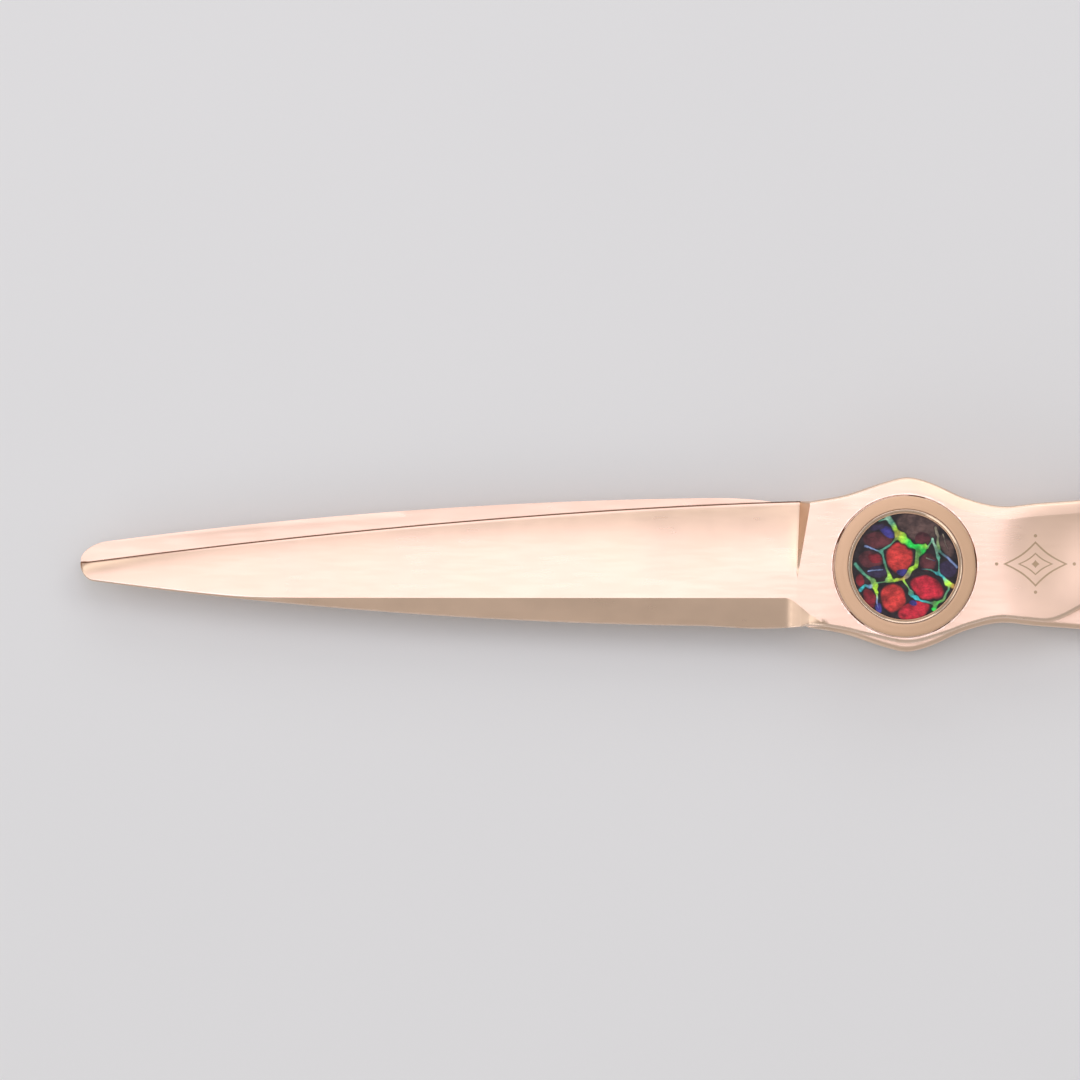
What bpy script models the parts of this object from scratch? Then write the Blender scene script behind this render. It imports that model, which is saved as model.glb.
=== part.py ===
"""Hair cutting shears, 6 inch, right-handed: two forged halves on an adjustable ball bearing pivot.

The frame: the pivot's axis is Z, the tips point along -X, the handles along +X, and the shears lie
flat on the plane z = 0, on the back of the pivot bolt and the undersides of the two rings.
The finger half is the upper one. Its blade cuts on +Y and its ring lies on +Y.
"""

import math

import bmesh
import bpy
from mathutils import Matrix, Vector

MM = 0.001

# Plan of a half, in its own frame: x along the shears, y towards its ring, z outwards from the inner face.
TIP_X = -68.8
SHOULDER_X = -8.7
HANDLE_X = 34.0
TIP_WIDTH = 0.15
TIP_END_THICKNESS = 0.6
TIP_THICKNESS = 1.1
BOSS_THICKNESS = 2.45
EDGE_THICKNESS = 0.12
EDGE_RADIUS = 0.025
CUT_WIDTH = 5.2
CUT_LENGTH = 66.0
CUT_CURVE = 1.65
SPINE_TIP_WIDTH = 1.5
SPINE_WIDTH = 5.38
SPINE_LENGTH = 56.9
CURVE_START = 0.4
RIDGE_WIDTH = 3.0
RIDGE_FALL = 1.95
RIDGE_FALL_X = (-10.8, -7.4)
RIDGE_MARGIN = 0.12
RIDGE_SOFTNESS = 0.25
BACK_SLOPE = 0.6
SHOULDER_WIDTH = 0.8
SHOULDER_LEAN = 0.3
SHOULDER_REACH = 0.7
SHOULDER_LEAST = 0.12
SPINE_TO_BOSS_X = -11.0
BOSS_ROUNDING = 0.3
INNER_GAP = 0.1
INNER_Z = 2.9

# What differs between the halves: the ring's place, how far the blade's axis lies towards the ring,
# how much smaller the boss's bump is, and the length over which the tip is rounded.
FINGER = {"ring_x": 68.95, "blade_y": 0.36, "slimmer": 0.0, "tip_round": 1.1}
THUMB = {"ring_x": 56.0, "blade_y": -0.36, "slimmer": 0.3, "tip_round": 2.2}

# Outlines of the boss and the shank, (x, y): the ring's side and the other side.
RING_SIDE = ((-7.9, 5.44), (-5.0, 5.95), (-1.6, 7.05), (0.3, 7.44), (2.3, 6.95), (5.0, 5.75),
             (8.0, 5.04), (11.0, 5.28), (14.6, 5.55), (20.0, 6.1), (27.0, 7.2), (34.0, 8.4))
FAR_SIDE = ((-7.5, -4.95), (-5.0, -5.3), (-2.9, -5.8), (0.4, -6.4), (3.35, -5.64), (5.4, -4.9),
            (7.9, -4.32), (10.2, -4.5), (12.3, -4.6), (14.6, -3.6), (18.0, -1.5), (22.0, 0.45),
            (28.0, 2.4), (34.0, 3.6))
SHANK_SLOPE = (0.165, 0.17)
SHANK_DROP_X = (23.0, 33.5)
SHANK_RISE_X = 8.0
SLIMMER_ENDS_X = (14.0, 26.0)

# Where the sections lie: parts of the tip's rounding, then places along the blade and the shank.
TIP_SECTIONS = (0.0, 0.06, 0.22, 0.5, 1.0)
BLADE_SECTIONS = (-64.5, -60.0, -55.0, -49.0, -42.0, -34.5, -27.0, -19.5, -14.0, -11.2, -10.2, -9.4)
SHANK_SECTIONS = (-6.8, -5.0, -3.2, -1.6, -0.6, 0.3, 1.3, 2.3, 3.6, 5.0, 6.5, 8.0, 10.0, 12.3, 13.6,
                  15.0, 16.7, 18.5, 20.2, 22.0, 24.0, 26.0, 28.0, 30.0, 32.0, HANDLE_X)

# The rings.
RING_CENTRE_Y = 15.0
RING_OUTER_R = 14.25
RING_HOLE_R = 10.75
RING_TOP = 2.85
RING_BOTTOM = -2.95
RING_ROUNDING = (1.25, 1.9)
OUTER_FILLET = 6.0
INNER_FILLET = 8.0

# The pivot, radii and heights above the table.
BOLT_HEAD = (4.5, 0.0, 0.8)
BOLT_R = 2.0
BOLT_FLAT = 1.55
BOLT_FLAT_Z = 3.78
BOLT_TOP = 6.0
BOLT_EDGE = 0.2
HEAD_EDGES = (0.25, 0.1)
GLIDE_WASHER = (2.15, 4.4, 0.84, 1.04)
BUSHING = (2.06, 2.55, 1.12, 3.8)
RACE_RADII = (2.75, 4.4)
RACE_REAR_Z = (1.98, 2.38)
RACE_FRONT_Z = (3.42, 3.82)
CAGE = (2.85, 4.3, 2.65, 3.15)
BALLS = 10
BALL_R = 0.5
BALL_CIRCLE = 3.55
BALL_CLEARANCE = 0.06
CLICK_PLATE = (5.1, 5.03, 5.2)
CLICK_NOSE = (4.5, 0.35, 5.27)
CLICK_DIMPLES = 12
CLICK_DIMPLE_TOP = 5.42
WAVE_WASHER = (2.9, 3.85, 5.56, 0.18)
WAVE_HEIGHT = 0.12
WAVES = 3
DIAL_R = 5.875
DIAL_TOP = 6.42
DIAL_FOOT = 5.12
DIAL_UNDERSIDE = 5.3
DIAL_RIM_R = 5.3
DIAL_ROUNDING = ((0.32, 0.0), (0.1, 0.06), (0.0, 0.22))
DIAL_LIP = 0.04
SPRING_SPACE = (2.75, 4.0, 5.85)
INLAY_SEAT = (4.8, 6.1)
BEZEL = (4.5, 4.75, 6.12, 6.52)
BEZEL_EDGE = 0.08
BACKING = (4.42, 6.12, 6.2)
INLAY = (4.42, 6.22, 6.4)
DISC_EDGE = 0.04

# Cuts in the halves: radius, then heights above the table.
BEARING_SEAT = (4.5, 1.95, 3.85)
HEAD_SEAT = (4.65, 1.08)
BUSHING_BORE = 2.6
DIAL_SEAT = (6.05, 5.0)
BOLT_CLEARANCE = 0.05

# The bumper and the finger rest; a stud is a radius and its depth in the ring's wall.
BUMPER_R = 2.1
BUMPER_SEAT = (2.35, 0.45)
BUMPER_STUD = (0.9, 2.4)
BUMPER_STOP_GAP = 0.06
BUMPER_SEAT_GAP = 0.03
# The bumper's dome, (radius below its full radius, distance below its top).
BUMPER_DOME = ((0.7, 0.35), (0.2, 0.8), (0.0, 1.6))
BUMPER_SINK = (0.42, 0.9, 1.2)
BUMPER_FOOT_EDGE = 0.15
PIN_SINK = 1.0
HOLE_GAP = 0.08
STUD_HOLE_EXTRA = 0.15
FINGER_REST_ANGLE = 14.0
FINGER_REST_STUD = (1.2, 2.6)
FINGER_REST_R = 2.0
FINGER_REST_STEPS = 16
FINGER_REST_WASHER = (0.05, 0.5)
FINGER_REST_GAP = 0.05
FINGER_REST_NECK = 0.02
# The finger rest's bent axis: along its stud, across it, and the share of its full radius.
FINGER_REST_PATH = ((0.0, 0.0, 1.0), (2.5, 0.0, 0.95), (6.5, 0.5, 0.82), (11.0, 2.4, 0.76),
                    (15.0, 6.2, 0.76), (17.3, 10.8, 0.86), (18.3, 14.6, 1.1), (18.5, 16.6, 1.05),
                    (18.5, 17.7, 0.62))

# How finely round shapes are divided.
ROUND_STEPS = 48
BORE_STEPS = 32
SMALL_STEPS = 24
RING_STEPS = 44
HOLE_STEPS = 40
FILLET_STEPS = 7
SIDE_STEPS = 2
BEVEL_COLUMNS = 4

ROSE_GOLD = (0.86, 0.66, 0.54)
DIAL_GOLD = (0.70, 0.50, 0.36)
BEARING_STEEL = (0.72, 0.72, 0.72)


def clear_scene():
    for obj in list(bpy.data.objects):
        bpy.data.objects.remove(obj)


def new_collection(name):
    collection = bpy.data.collections.new(name)
    bpy.context.scene.collection.children.link(collection)
    return collection


def new_material(name, colour, roughness, metallic):
    material = bpy.data.materials.new(name)
    material.use_nodes = True
    shader = material.node_tree.nodes["Principled BSDF"]
    shader.inputs["Base Color"].default_value = (*colour, 1.0)
    shader.inputs["Roughness"].default_value = roughness
    shader.inputs["Metallic"].default_value = metallic
    material.diffuse_color = (*colour, 1.0)
    return material


def add_object(name, mesh, collection, material=None):
    obj = bpy.data.objects.new(name, mesh)
    collection.objects.link(obj)
    if material:
        mesh.materials.append(material)
        mesh.shade_smooth()
        mesh.set_sharp_from_angle(angle=math.radians(35))
    return obj


def mesh_from(name, bm):
    mesh = bpy.data.meshes.new(name)
    bm.to_mesh(mesh)
    bm.free()
    return mesh


def add_cutter(name, bm):
    cutter = add_object(name, mesh_from(name, bm), cutters)
    cutter.hide_render = True
    cutter.display_type = "WIRE"
    return cutter


def boolean(obj, cutter, operation="DIFFERENCE"):
    modifier = obj.modifiers.new(cutter.name, "BOOLEAN")
    modifier.operation = operation
    modifier.solver = "EXACT"
    modifier.object = cutter


def add_cylinder(bm, radius, low, high, steps=ROUND_STEPS, at=(0.0, 0.0), turn=None):
    """A cylinder along Z from low to high, in millimetres; turn places it elsewhere."""
    matrix = Matrix.Translation(Vector((at[0], at[1], (low + high) / 2)) * MM)
    if turn:
        matrix = turn @ matrix
    bmesh.ops.create_cone(bm, cap_ends=True, segments=steps, radius1=radius * MM,
                          radius2=radius * MM, depth=(high - low) * MM, matrix=matrix)


def cylinder_cutter(name, radius, low, high, **placing):
    bm = bmesh.new()
    add_cylinder(bm, radius, low, high, **placing)
    return add_cutter(name, bm)


def box_mesh(bm, low, high):
    size = Vector(high) - Vector(low)
    centre = (Vector(high) + Vector(low)) / 2
    matrix = Matrix.Translation(centre * MM) @ Matrix.Diagonal((*(size * MM), 1.0))
    bmesh.ops.create_cube(bm, size=1.0, matrix=matrix)


def turned(name, profile, material, steps=ROUND_STEPS):
    """A piece turned about Z from a profile of (radius, z), its outer side running downwards.

    A profile that starts on the axis is open and ends there too; any other is closed."""
    bm = bmesh.new()
    points = [bm.verts.new((r * MM, 0.0, z * MM)) for r, z in profile]
    ends = points[1:]
    if profile[0][0] > 0:
        ends.append(points[0])
    for start, end in zip(points, ends):
        bm.edges.new((start, end))
    obj = add_object(name, mesh_from(name, bm), shears, material)
    screw = obj.modifiers.new("turn", "SCREW")
    screw.angle = math.tau
    screw.steps = steps
    screw.render_steps = steps
    screw.use_merge_vertices = True
    screw.merge_threshold = 1e-7
    return obj


def flat_ring(name, inner, outer, low, high, material, steps=SMALL_STEPS):
    profile = ((inner, high), (outer, high), (outer, low), (inner, low))
    return turned(name, profile, material, steps)


# ---------------------------------------------------------------- shape of a half


def blend(low, high, x):
    """0 before low, 1 after high, and an S between them."""
    t = min(max((x - low) / (high - low), 0.0), 1.0)
    return t * t * (3 - 2 * t)


def through(points, x):
    """Height at x of the smooth curve through the points, straight on past its ends."""
    slopes = []
    for i in range(len(points)):
        a = points[max(i - 1, 0)]
        b = points[min(i + 1, len(points) - 1)]
        slopes.append((b[1] - a[1]) / (b[0] - a[0]))
    for (x0, y0), (x1, y1), m0, m1 in zip(points, points[1:], slopes, slopes[1:]):
        if x <= x1:
            break
    t = (x - x0) / (x1 - x0)
    if t < 0 or t > 1:
        return y0 + m0 * (x - x0) if t < 0 else y1 + m1 * (x - x1)
    step = x1 - x0
    return ((2 * t ** 3 - 3 * t ** 2 + 1) * y0 + (t ** 3 - 2 * t ** 2 + t) * step * m0
            + (3 * t ** 2 - 2 * t ** 3) * y1 + (t ** 3 - t ** 2) * step * m1)


def cutting_edge(x):
    """Distance of the cutting edge from the blade's axis."""
    u = (x - TIP_X - CURVE_START) / CUT_LENGTH
    return CUT_WIDTH * (1 - (1 - min(max(u, 0.0), 1.0)) ** CUT_CURVE)


def rounded_off(x, tip_round):
    """How much of the tip's rounding is lost at x: 1 at the very tip, 0 past the rounding."""
    left = max(1 - (x - TIP_X) / tip_round, 0.0)
    return 1 - math.sqrt(1 - left ** 2)


def spine(x, tip_round):
    """Distance of the back of the blade from the blade's axis, with the rounded tip."""
    u = min(max((x - TIP_X - CURVE_START) / SPINE_LENGTH, 0.0), 1.0)
    width = SPINE_WIDTH - (SPINE_WIDTH - SPINE_TIP_WIDTH) * (1 - u) ** 2
    return width - (SPINE_TIP_WIDTH - TIP_WIDTH) * rounded_off(x, tip_round)


def ridge(x, back):
    """Distance from the blade's axis of the ridge between the wide bevel and the back bevel."""
    near_back = back - RIDGE_MARGIN
    straight = RIDGE_WIDTH + RIDGE_FALL * blend(*RIDGE_FALL_X, x)
    return (near_back + straight) / 2 - math.hypot(near_back - straight, RIDGE_SOFTNESS) / 2


def blade_height(x, tip_round):
    """Height of the ridge above the inner face."""
    u = (x - TIP_X) / (SHOULDER_X - TIP_X)
    height = TIP_THICKNESS + (BOSS_THICKNESS - TIP_THICKNESS) * min(u, 1.0)
    return height - (TIP_THICKNESS - TIP_END_THICKNESS) * rounded_off(x, tip_round)


def side_profile(low, high, rounding_low, rounding_high, steps):
    """Points (inset, z) up a side, rounded by (inset, height) at its foot and at its top."""
    points = []
    for k in range(steps + 1):
        angle = math.pi / 2 * k / steps
        points.append((rounding_low[0] * (1 - math.sin(angle)),
                       low + rounding_low[1] * (1 - math.cos(angle))))
    for k in range(steps + 1):
        angle = math.pi / 2 * k / steps
        points.append((rounding_high[0] * (1 - math.cos(angle)),
                       high - rounding_high[1] * (1 - math.sin(angle))))
    return points


def blade_row(x, half):
    """One section of the blade: up the edge, over the bevel and the ridge, and down the back."""
    axis_y = half["blade_y"]
    edge_y = axis_y + cutting_edge(x)
    back = spine(x, half["tip_round"])
    near_boss = blend(SPINE_TO_BOSS_X, SHOULDER_X + SHOULDER_WIDTH, x)
    back_y = (axis_y - back) * (1 - near_boss) + through(FAR_SIDE, x) * near_boss
    ridge_y = max(axis_y - ridge(x, back), back_y + RIDGE_MARGIN)
    height = blade_height(x, half["tip_round"])
    back_height = height - BACK_SLOPE * (ridge_y - back_y)
    tiny = (EDGE_RADIUS, EDGE_RADIUS)
    row = [(x, edge_y - i, z) for i, z in side_profile(0, EDGE_THICKNESS, tiny, tiny, SIDE_STEPS)]
    for k in range(1, BEVEL_COLUMNS + 1):
        v = 1 - k / BEVEL_COLUMNS
        y = ridge_y + (edge_y - ridge_y) * v
        row.append((x, y, EDGE_THICKNESS + (height - EDGE_THICKNESS) * (1 - v * v)))
    side = side_profile(0, back_height, tiny, tiny, SIDE_STEPS)
    row += [(x, back_y + i, z) for i, z in reversed(side)]
    return row


def ring_side(x, half):
    """The outline on the ring's side of the boss and the shank."""
    return through(RING_SIDE, x) - half["slimmer"] * (1 - blend(*SLIMMER_ENDS_X, x))


def shank_row(x, half):
    """One section of the boss or the shank, with the same points as a section of the blade.

    Past the crotch its underside drops from the inner face to the rings' full depth."""
    rise = blend(SHANK_RISE_X, HANDLE_X, x)
    drop = blend(*SHANK_DROP_X, x)
    top = BOSS_THICKNESS + (RING_TOP - BOSS_THICKNESS) * rise
    at_top = [BOSS_ROUNDING + (full - BOSS_ROUNDING) * rise for full in RING_ROUNDING]
    at_foot = [EDGE_RADIUS + (full - EDGE_RADIUS) * drop for full in RING_ROUNDING]
    sides = side_profile(RING_BOTTOM * drop, top, at_foot, at_top, SIDE_STEPS)
    ring_y = ring_side(x, half)
    far_y = through(FAR_SIDE, x)
    row = [(x, ring_y - i, z) for i, z in sides]
    inner = ring_y - at_top[0]
    outer = far_y + at_top[0]
    for k in range(1, BEVEL_COLUMNS + 1):
        row.append((x, inner + (outer - inner) * (k - 0.02) / BEVEL_COLUMNS, top))
    row += [(x, far_y + i, z) for i, z in reversed(sides)]
    return row


def shoulder_rows(half):
    """The foot and the top of the step where the blade's grinding ends against the boss.

    The step is widest at the cutting edge and runs out before the ridge."""
    foot = blade_row(SHOULDER_X, half)
    top = shank_row(SHOULDER_X + SHOULDER_WIDTH, half)
    side = 2 * (SIDE_STEPS + 1)
    foot_row = []
    top_row = []
    for k, (low, high) in enumerate(zip(foot, top)):
        if k < side or k >= side + BEVEL_COLUMNS - 1:
            foot_row.append(low)
            top_row.append(high)
            continue
        across = (k - side + 1) / BEVEL_COLUMNS
        lean = min(across / SHOULDER_REACH, 1.0)
        x = SHOULDER_X - SHOULDER_LEAN * lean
        foot_row.append((x, low[1], low[2]))
        top_row.append((x + SHOULDER_WIDTH * (1 - lean) + SHOULDER_LEAST, low[1], high[2]))
    return foot_row, top_row


def half_rows(half):
    """The sections of a half from the tip to the handle, in order."""
    rows = [blade_row(TIP_X + half["tip_round"] * part, half) for part in TIP_SECTIONS]
    rows += [blade_row(x, half) for x in BLADE_SECTIONS]
    rows += shoulder_rows(half)
    return rows + [shank_row(x, half) for x in SHANK_SECTIONS]


def fillet(start, slope, centre, radius, side):
    """A fillet between a straight edge and the ring: its centre, and the directions from there to
    the edge and to the ring. side is 1 for a fillet above the edge and -1 for one below it."""
    along = Vector((1.0, slope)).normalized()
    normal = Vector((-along.y, along.x)) * side
    base = Vector(start) + normal * radius - centre
    reach = RING_OUTER_R + radius
    half = base.dot(along)
    t = -half - math.sqrt(half ** 2 - base.dot(base) + reach ** 2)
    middle = centre + base + along * t
    return middle, -normal, (centre - middle).normalized()


def arc(centre, radius, start, end, steps, outward):
    """Points and outward normals on an arc, from one angle to another in radians."""
    found = []
    for k in range(steps + 1):
        angle = start + (end - start) * k / steps
        direction = Vector((math.cos(angle), math.sin(angle)))
        found.append((centre + direction * radius, direction * outward))
    return found


def handle_contour(ring_x):
    """Points and outward normals round the handle, from the shank's ring side to its far side."""
    centre = Vector((ring_x, RING_CENTRE_Y))
    ring_end = (HANDLE_X, through(RING_SIDE, HANDLE_X))
    far_end = (HANDLE_X, through(FAR_SIDE, HANDLE_X))
    outer, outer_from, outer_to = fillet(ring_end, SHANK_SLOPE[0], centre, OUTER_FILLET, 1)
    inner, inner_from, inner_to = fillet(far_end, SHANK_SLOPE[1], centre, INNER_FILLET, -1)
    a0 = math.atan2(outer_from.y, outer_from.x)
    a1 = math.atan2(outer_to.y, outer_to.x)
    b0 = math.atan2(inner_to.y, inner_to.x)
    b1 = math.atan2(inner_from.y, inner_from.x)
    contour = arc(outer, OUTER_FILLET, a0, a1, FILLET_STEPS, -1)
    contour += arc(centre, RING_OUTER_R, a1 + math.pi, b0 - math.pi, RING_STEPS, 1)[1:-1]
    contour += arc(inner, INNER_FILLET, b0, b1, FILLET_STEPS, -1)
    return contour


def upright(bm, contour, sides, into):
    """Columns of points up the rounded side that stands on a contour; into turns its inset round."""
    columns = []
    for point, normal in contour:
        column = []
        for inset, z in sides:
            x, y = point + normal * inset * into
            column.append(bm.verts.new(Vector((x, y, z)) * MM))
        columns.append(column)
    return columns


def bridge(bm, columns):
    """Faces between neighbouring columns of points."""
    for left, right in zip(columns, columns[1:]):
        for k in range(len(left) - 1):
            bm.faces.new((left[k], right[k], right[k + 1], left[k + 1]))


def loop_edges(bm, points):
    found = []
    for start, end in zip(points, points[1:] + points[:1]):
        found.append(bm.edges.get((start, end)) or bm.edges.new((start, end)))
    return found


def half_mesh(name, half):
    """A whole half as one closed mesh: blade, boss, shank and ring, in its own frame."""
    bm = bmesh.new()
    rows = [[bm.verts.new(Vector(p) * MM) for p in row] for row in half_rows(half)]
    for before, after in zip(rows, rows[1:]):
        for k in range(len(before)):
            j = (k + 1) % len(before)
            bm.faces.new((before[k], before[j], after[j], after[k]))
    bm.faces.new(rows[0])

    sides = side_profile(RING_BOTTOM, RING_TOP, RING_ROUNDING, RING_ROUNDING, SIDE_STEPS)
    count = len(sides)
    columns = [rows[-1][:count]]
    columns += upright(bm, handle_contour(half["ring_x"]), sides, -1)
    columns.append(rows[-1][-count:][::-1])
    bridge(bm, columns)

    centre = Vector((half["ring_x"], RING_CENTRE_Y))
    circle = arc(centre, RING_HOLE_R, 0.0, math.tau, HOLE_STEPS, 1)[:-1]
    hole = upright(bm, circle, sides, 1)
    bridge(bm, hole + hole[:1])

    top = loop_edges(bm, [c[-1] for c in columns] + rows[-1][count:-count][::-1])
    bottom = loop_edges(bm, [c[0] for c in columns])
    top += loop_edges(bm, [c[-1] for c in hole])
    bottom += loop_edges(bm, [c[0] for c in hole])
    bmesh.ops.triangle_fill(bm, use_beauty=True, edges=top, normal=(0.0, 0.0, 1.0))
    bmesh.ops.triangle_fill(bm, use_beauty=True, edges=bottom, normal=(0.0, 0.0, -1.0))
    bmesh.ops.recalc_face_normals(bm, faces=bm.faces)
    return mesh_from(name, bm)


def towards(point, angle):
    """A matrix that takes +Z to a direction in the plan, at the handles' middle height."""
    place = Matrix.Translation(Vector((point[0], point[1], INNER_Z)) * MM)
    return place @ Matrix.Rotation(angle, 4, "Z") @ Matrix.Rotation(math.pi / 2, 4, "Y")


# ---------------------------------------------------------------- the pieces


def double_d_cutter(name, radius, flat, low, high):
    """A bar with two flats, for the bolt's keyed holes."""
    bar = cylinder_cutter(name, radius, low, high, steps=BORE_STEPS)
    bm = bmesh.new()
    box_mesh(bm, (-flat, -2 * radius, low - 1), (flat, 2 * radius, high + 1))
    slab = add_cutter(name + "_flats", bm)
    boolean(bar, slab, "INTERSECT")
    return bar


def stud_hole(name, radius, depth, place):
    """A cutter for a stud's hole in a ring's wall; place takes +Z outwards from the ring's centre."""
    return cylinder_cutter(name, radius + BOLT_CLEARANCE, RING_OUTER_R - depth - STUD_HOLE_EXTRA,
                           RING_OUTER_R + 1.0, steps=SMALL_STEPS, turn=place)


def finger_rest_place():
    centre = (FINGER["ring_x"], RING_CENTRE_Y)
    return towards(centre, math.radians(FINGER_REST_ANGLE))


def make_finger_half(material):
    mesh = half_mesh("finger_half", FINGER)
    mesh.transform(Matrix.Translation((0.0, 0.0, (INNER_Z + INNER_GAP / 2) * MM)))
    half = add_object("finger_half", mesh, shears, material)
    seat_r, _, seat_top = BEARING_SEAT
    boolean(half, cylinder_cutter("front_bearing_seat", seat_r, INNER_Z - 0.5, seat_top))
    boolean(half, cylinder_cutter("dial_seat", DIAL_SEAT[0], DIAL_SEAT[1], 7.0))
    keyed = double_d_cutter("keyed_hole", BOLT_R + BOLT_CLEARANCE, BOLT_FLAT + BOLT_CLEARANCE,
                            INNER_Z, 6.0)
    boolean(half, keyed)
    boolean(half, stud_hole("finger_rest_hole", *FINGER_REST_STUD, finger_rest_place()))


def make_thumb_half(material, pivot):
    mesh = half_mesh("thumb_half", THUMB)
    mesh.transform(Matrix.Rotation(math.pi, 4, "X"))
    mesh.transform(Matrix.Translation((0.0, 0.0, (INNER_Z - INNER_GAP / 2) * MM)))
    half = add_object("thumb_half", mesh, shears, material)
    half.parent = pivot
    seat_r, seat_low, _ = BEARING_SEAT
    boolean(half, cylinder_cutter("rear_bearing_seat", seat_r, seat_low, INNER_Z + 0.5))
    boolean(half, cylinder_cutter("head_seat", HEAD_SEAT[0], -1.0, HEAD_SEAT[1]))
    boolean(half, cylinder_cutter("bushing_bore", BUSHING_BORE, 0.0, INNER_Z, steps=BORE_STEPS))
    place, _ = bumper_place()
    seat_r, seat_depth = BUMPER_SEAT
    boolean(half, cylinder_cutter("bumper_seat", seat_r, RING_OUTER_R - seat_depth,
                                  RING_OUTER_R + 1.0, steps=SMALL_STEPS, turn=place))
    boolean(half, stud_hole("bumper_hole", *BUMPER_STUD, place))


def bumper_place():
    """The matrix from the thumb ring's centre towards the finger ring, and the rings' gap."""
    across = Vector((FINGER["ring_x"] - THUMB["ring_x"], 2 * RING_CENTRE_Y))
    place = towards((THUMB["ring_x"], -RING_CENTRE_Y), math.atan2(across.y, across.x))
    return place, across.length - 2 * RING_OUTER_R


def make_bolt(material):
    radius, low, high = BOLT_HEAD
    low_edge, high_edge = HEAD_EDGES
    profile = ((0.0, BOLT_TOP), (BOLT_R - BOLT_EDGE, BOLT_TOP), (BOLT_R, BOLT_TOP - BOLT_EDGE),
               (BOLT_R, high), (radius - high_edge, high), (radius, high - high_edge),
               (radius, low + low_edge), (radius - low_edge, low), (0.0, low))
    bolt = turned("pivot_bolt", profile, material, BORE_STEPS)
    bm = bmesh.new()
    for side in (-1, 1):
        low_x, high_x = sorted((side * BOLT_FLAT, side * 3.0))
        box_mesh(bm, (low_x, -3.0, BOLT_FLAT_Z), (high_x, 3.0, 7.0))
    boolean(bolt, add_cutter("bolt_flats", bm))


def make_bearing(steel, brass, turning, half_turning):
    flat_ring("race_front", *RACE_RADII, *RACE_FRONT_Z, steel)
    flat_ring("race_rear", *RACE_RADII, *RACE_REAR_Z, steel).parent = turning
    cage = flat_ring("bearing_cage", *CAGE, brass, ROUND_STEPS)
    cage.parent = half_turning
    bm = bmesh.new()
    places = []
    for k in range(BALLS):
        angle = math.tau * k / BALLS
        places.append((BALL_CIRCLE * math.cos(angle), BALL_CIRCLE * math.sin(angle)))
    for place in places:
        add_cylinder(bm, BALL_R + BALL_CLEARANCE, 2.0, 4.0, steps=10, at=place)
    boolean(cage, add_cutter("ball_pockets", bm))
    ball = bmesh.new()
    bmesh.ops.create_uvsphere(ball, u_segments=10, v_segments=6, radius=BALL_R * MM)
    mesh = mesh_from("bearing_ball", ball)
    mesh.materials.append(steel)
    mesh.shade_smooth()
    for k, (x, y) in enumerate(places):
        obj = add_object(f"bearing_ball_{k + 1}", mesh, shears)
        obj.location = Vector((x, y, INNER_Z)) * MM
        obj.parent = half_turning


def make_click_plate(material):
    radius, low, high = CLICK_PLATE
    bm = bmesh.new()
    add_cylinder(bm, radius, low, high)
    plate = add_object("click_plate", mesh_from("click_plate", bm), shears, material)
    boolean(plate, double_d_cutter("plate_hole", BOLT_R + BOLT_CLEARANCE,
                                   BOLT_FLAT + BOLT_CLEARANCE, 4.5, 5.6))
    noses = bmesh.new()
    circle, nose_r, nose_top = CLICK_NOSE
    for side in (-1, 1):
        add_cylinder(noses, nose_r, (low + high) / 2, nose_top, steps=16, at=(0.0, side * circle))
    boolean(plate, add_cutter("click_noses", noses), "UNION")


def make_wave_washer(material):
    inner, outer, middle, thickness = WAVE_WASHER
    bm = bmesh.new()
    columns = []
    for k in range(ROUND_STEPS):
        angle = math.tau * k / ROUND_STEPS
        z = middle + WAVE_HEIGHT * math.sin(WAVES * angle)
        corners = ((inner, z - thickness / 2), (outer, z - thickness / 2),
                   (outer, z + thickness / 2), (inner, z + thickness / 2))
        columns.append([bm.verts.new(Vector((r * math.cos(angle), r * math.sin(angle), h)) * MM)
                        for r, h in corners])
    for left, right in zip(columns, columns[1:] + columns[:1]):
        for k in range(4):
            bm.faces.new((left[k], right[k], right[(k + 1) % 4], left[(k + 1) % 4]))
    bmesh.ops.recalc_face_normals(bm, faces=bm.faces)
    add_object("wave_washer", mesh_from("wave_washer", bm), shears, material)


def make_dial(gold, dark, stone, dial_axis):
    thread = BOLT_R + BOLT_CLEARANCE
    seat_r, seat_z = INLAY_SEAT
    hub_r, spring_r, spring_z = SPRING_SPACE
    profile = [(thread, seat_z), (seat_r, seat_z), (seat_r, DIAL_TOP - DIAL_LIP)]
    profile += [(DIAL_R - inset, DIAL_TOP - drop) for inset, drop in DIAL_ROUNDING]
    profile += [(DIAL_R, DIAL_FOOT), (DIAL_RIM_R, DIAL_FOOT), (DIAL_RIM_R, DIAL_UNDERSIDE),
                (spring_r, DIAL_UNDERSIDE), (spring_r, spring_z), (hub_r, spring_z),
                (hub_r, DIAL_UNDERSIDE), (thread, DIAL_UNDERSIDE)]
    dial = turned("tension_dial", profile, gold)
    bm = bmesh.new()
    for k in range(CLICK_DIMPLES):
        angle = math.tau * k / CLICK_DIMPLES
        place = (CLICK_NOSE[0] * math.cos(angle), CLICK_NOSE[0] * math.sin(angle))
        add_cylinder(bm, CLICK_NOSE[1] + BOLT_CLEARANCE, DIAL_FOOT, CLICK_DIMPLE_TOP, steps=8, at=place)
    boolean(dial, add_cutter("click_dimples", bm))
    inner, outer, low, high = BEZEL
    lip = BEZEL_EDGE
    bezel = turned("bezel_ring", ((inner, high), (outer - lip, high), (outer, high - lip),
                                  (outer, low), (inner, low)), gold)
    backing = flat_disc("inlay_backing", *BACKING, dark)
    inlay = flat_disc("inlay_disc", *INLAY, stone)
    for obj in (dial, bezel, backing, inlay):
        obj.parent = dial_axis


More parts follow.
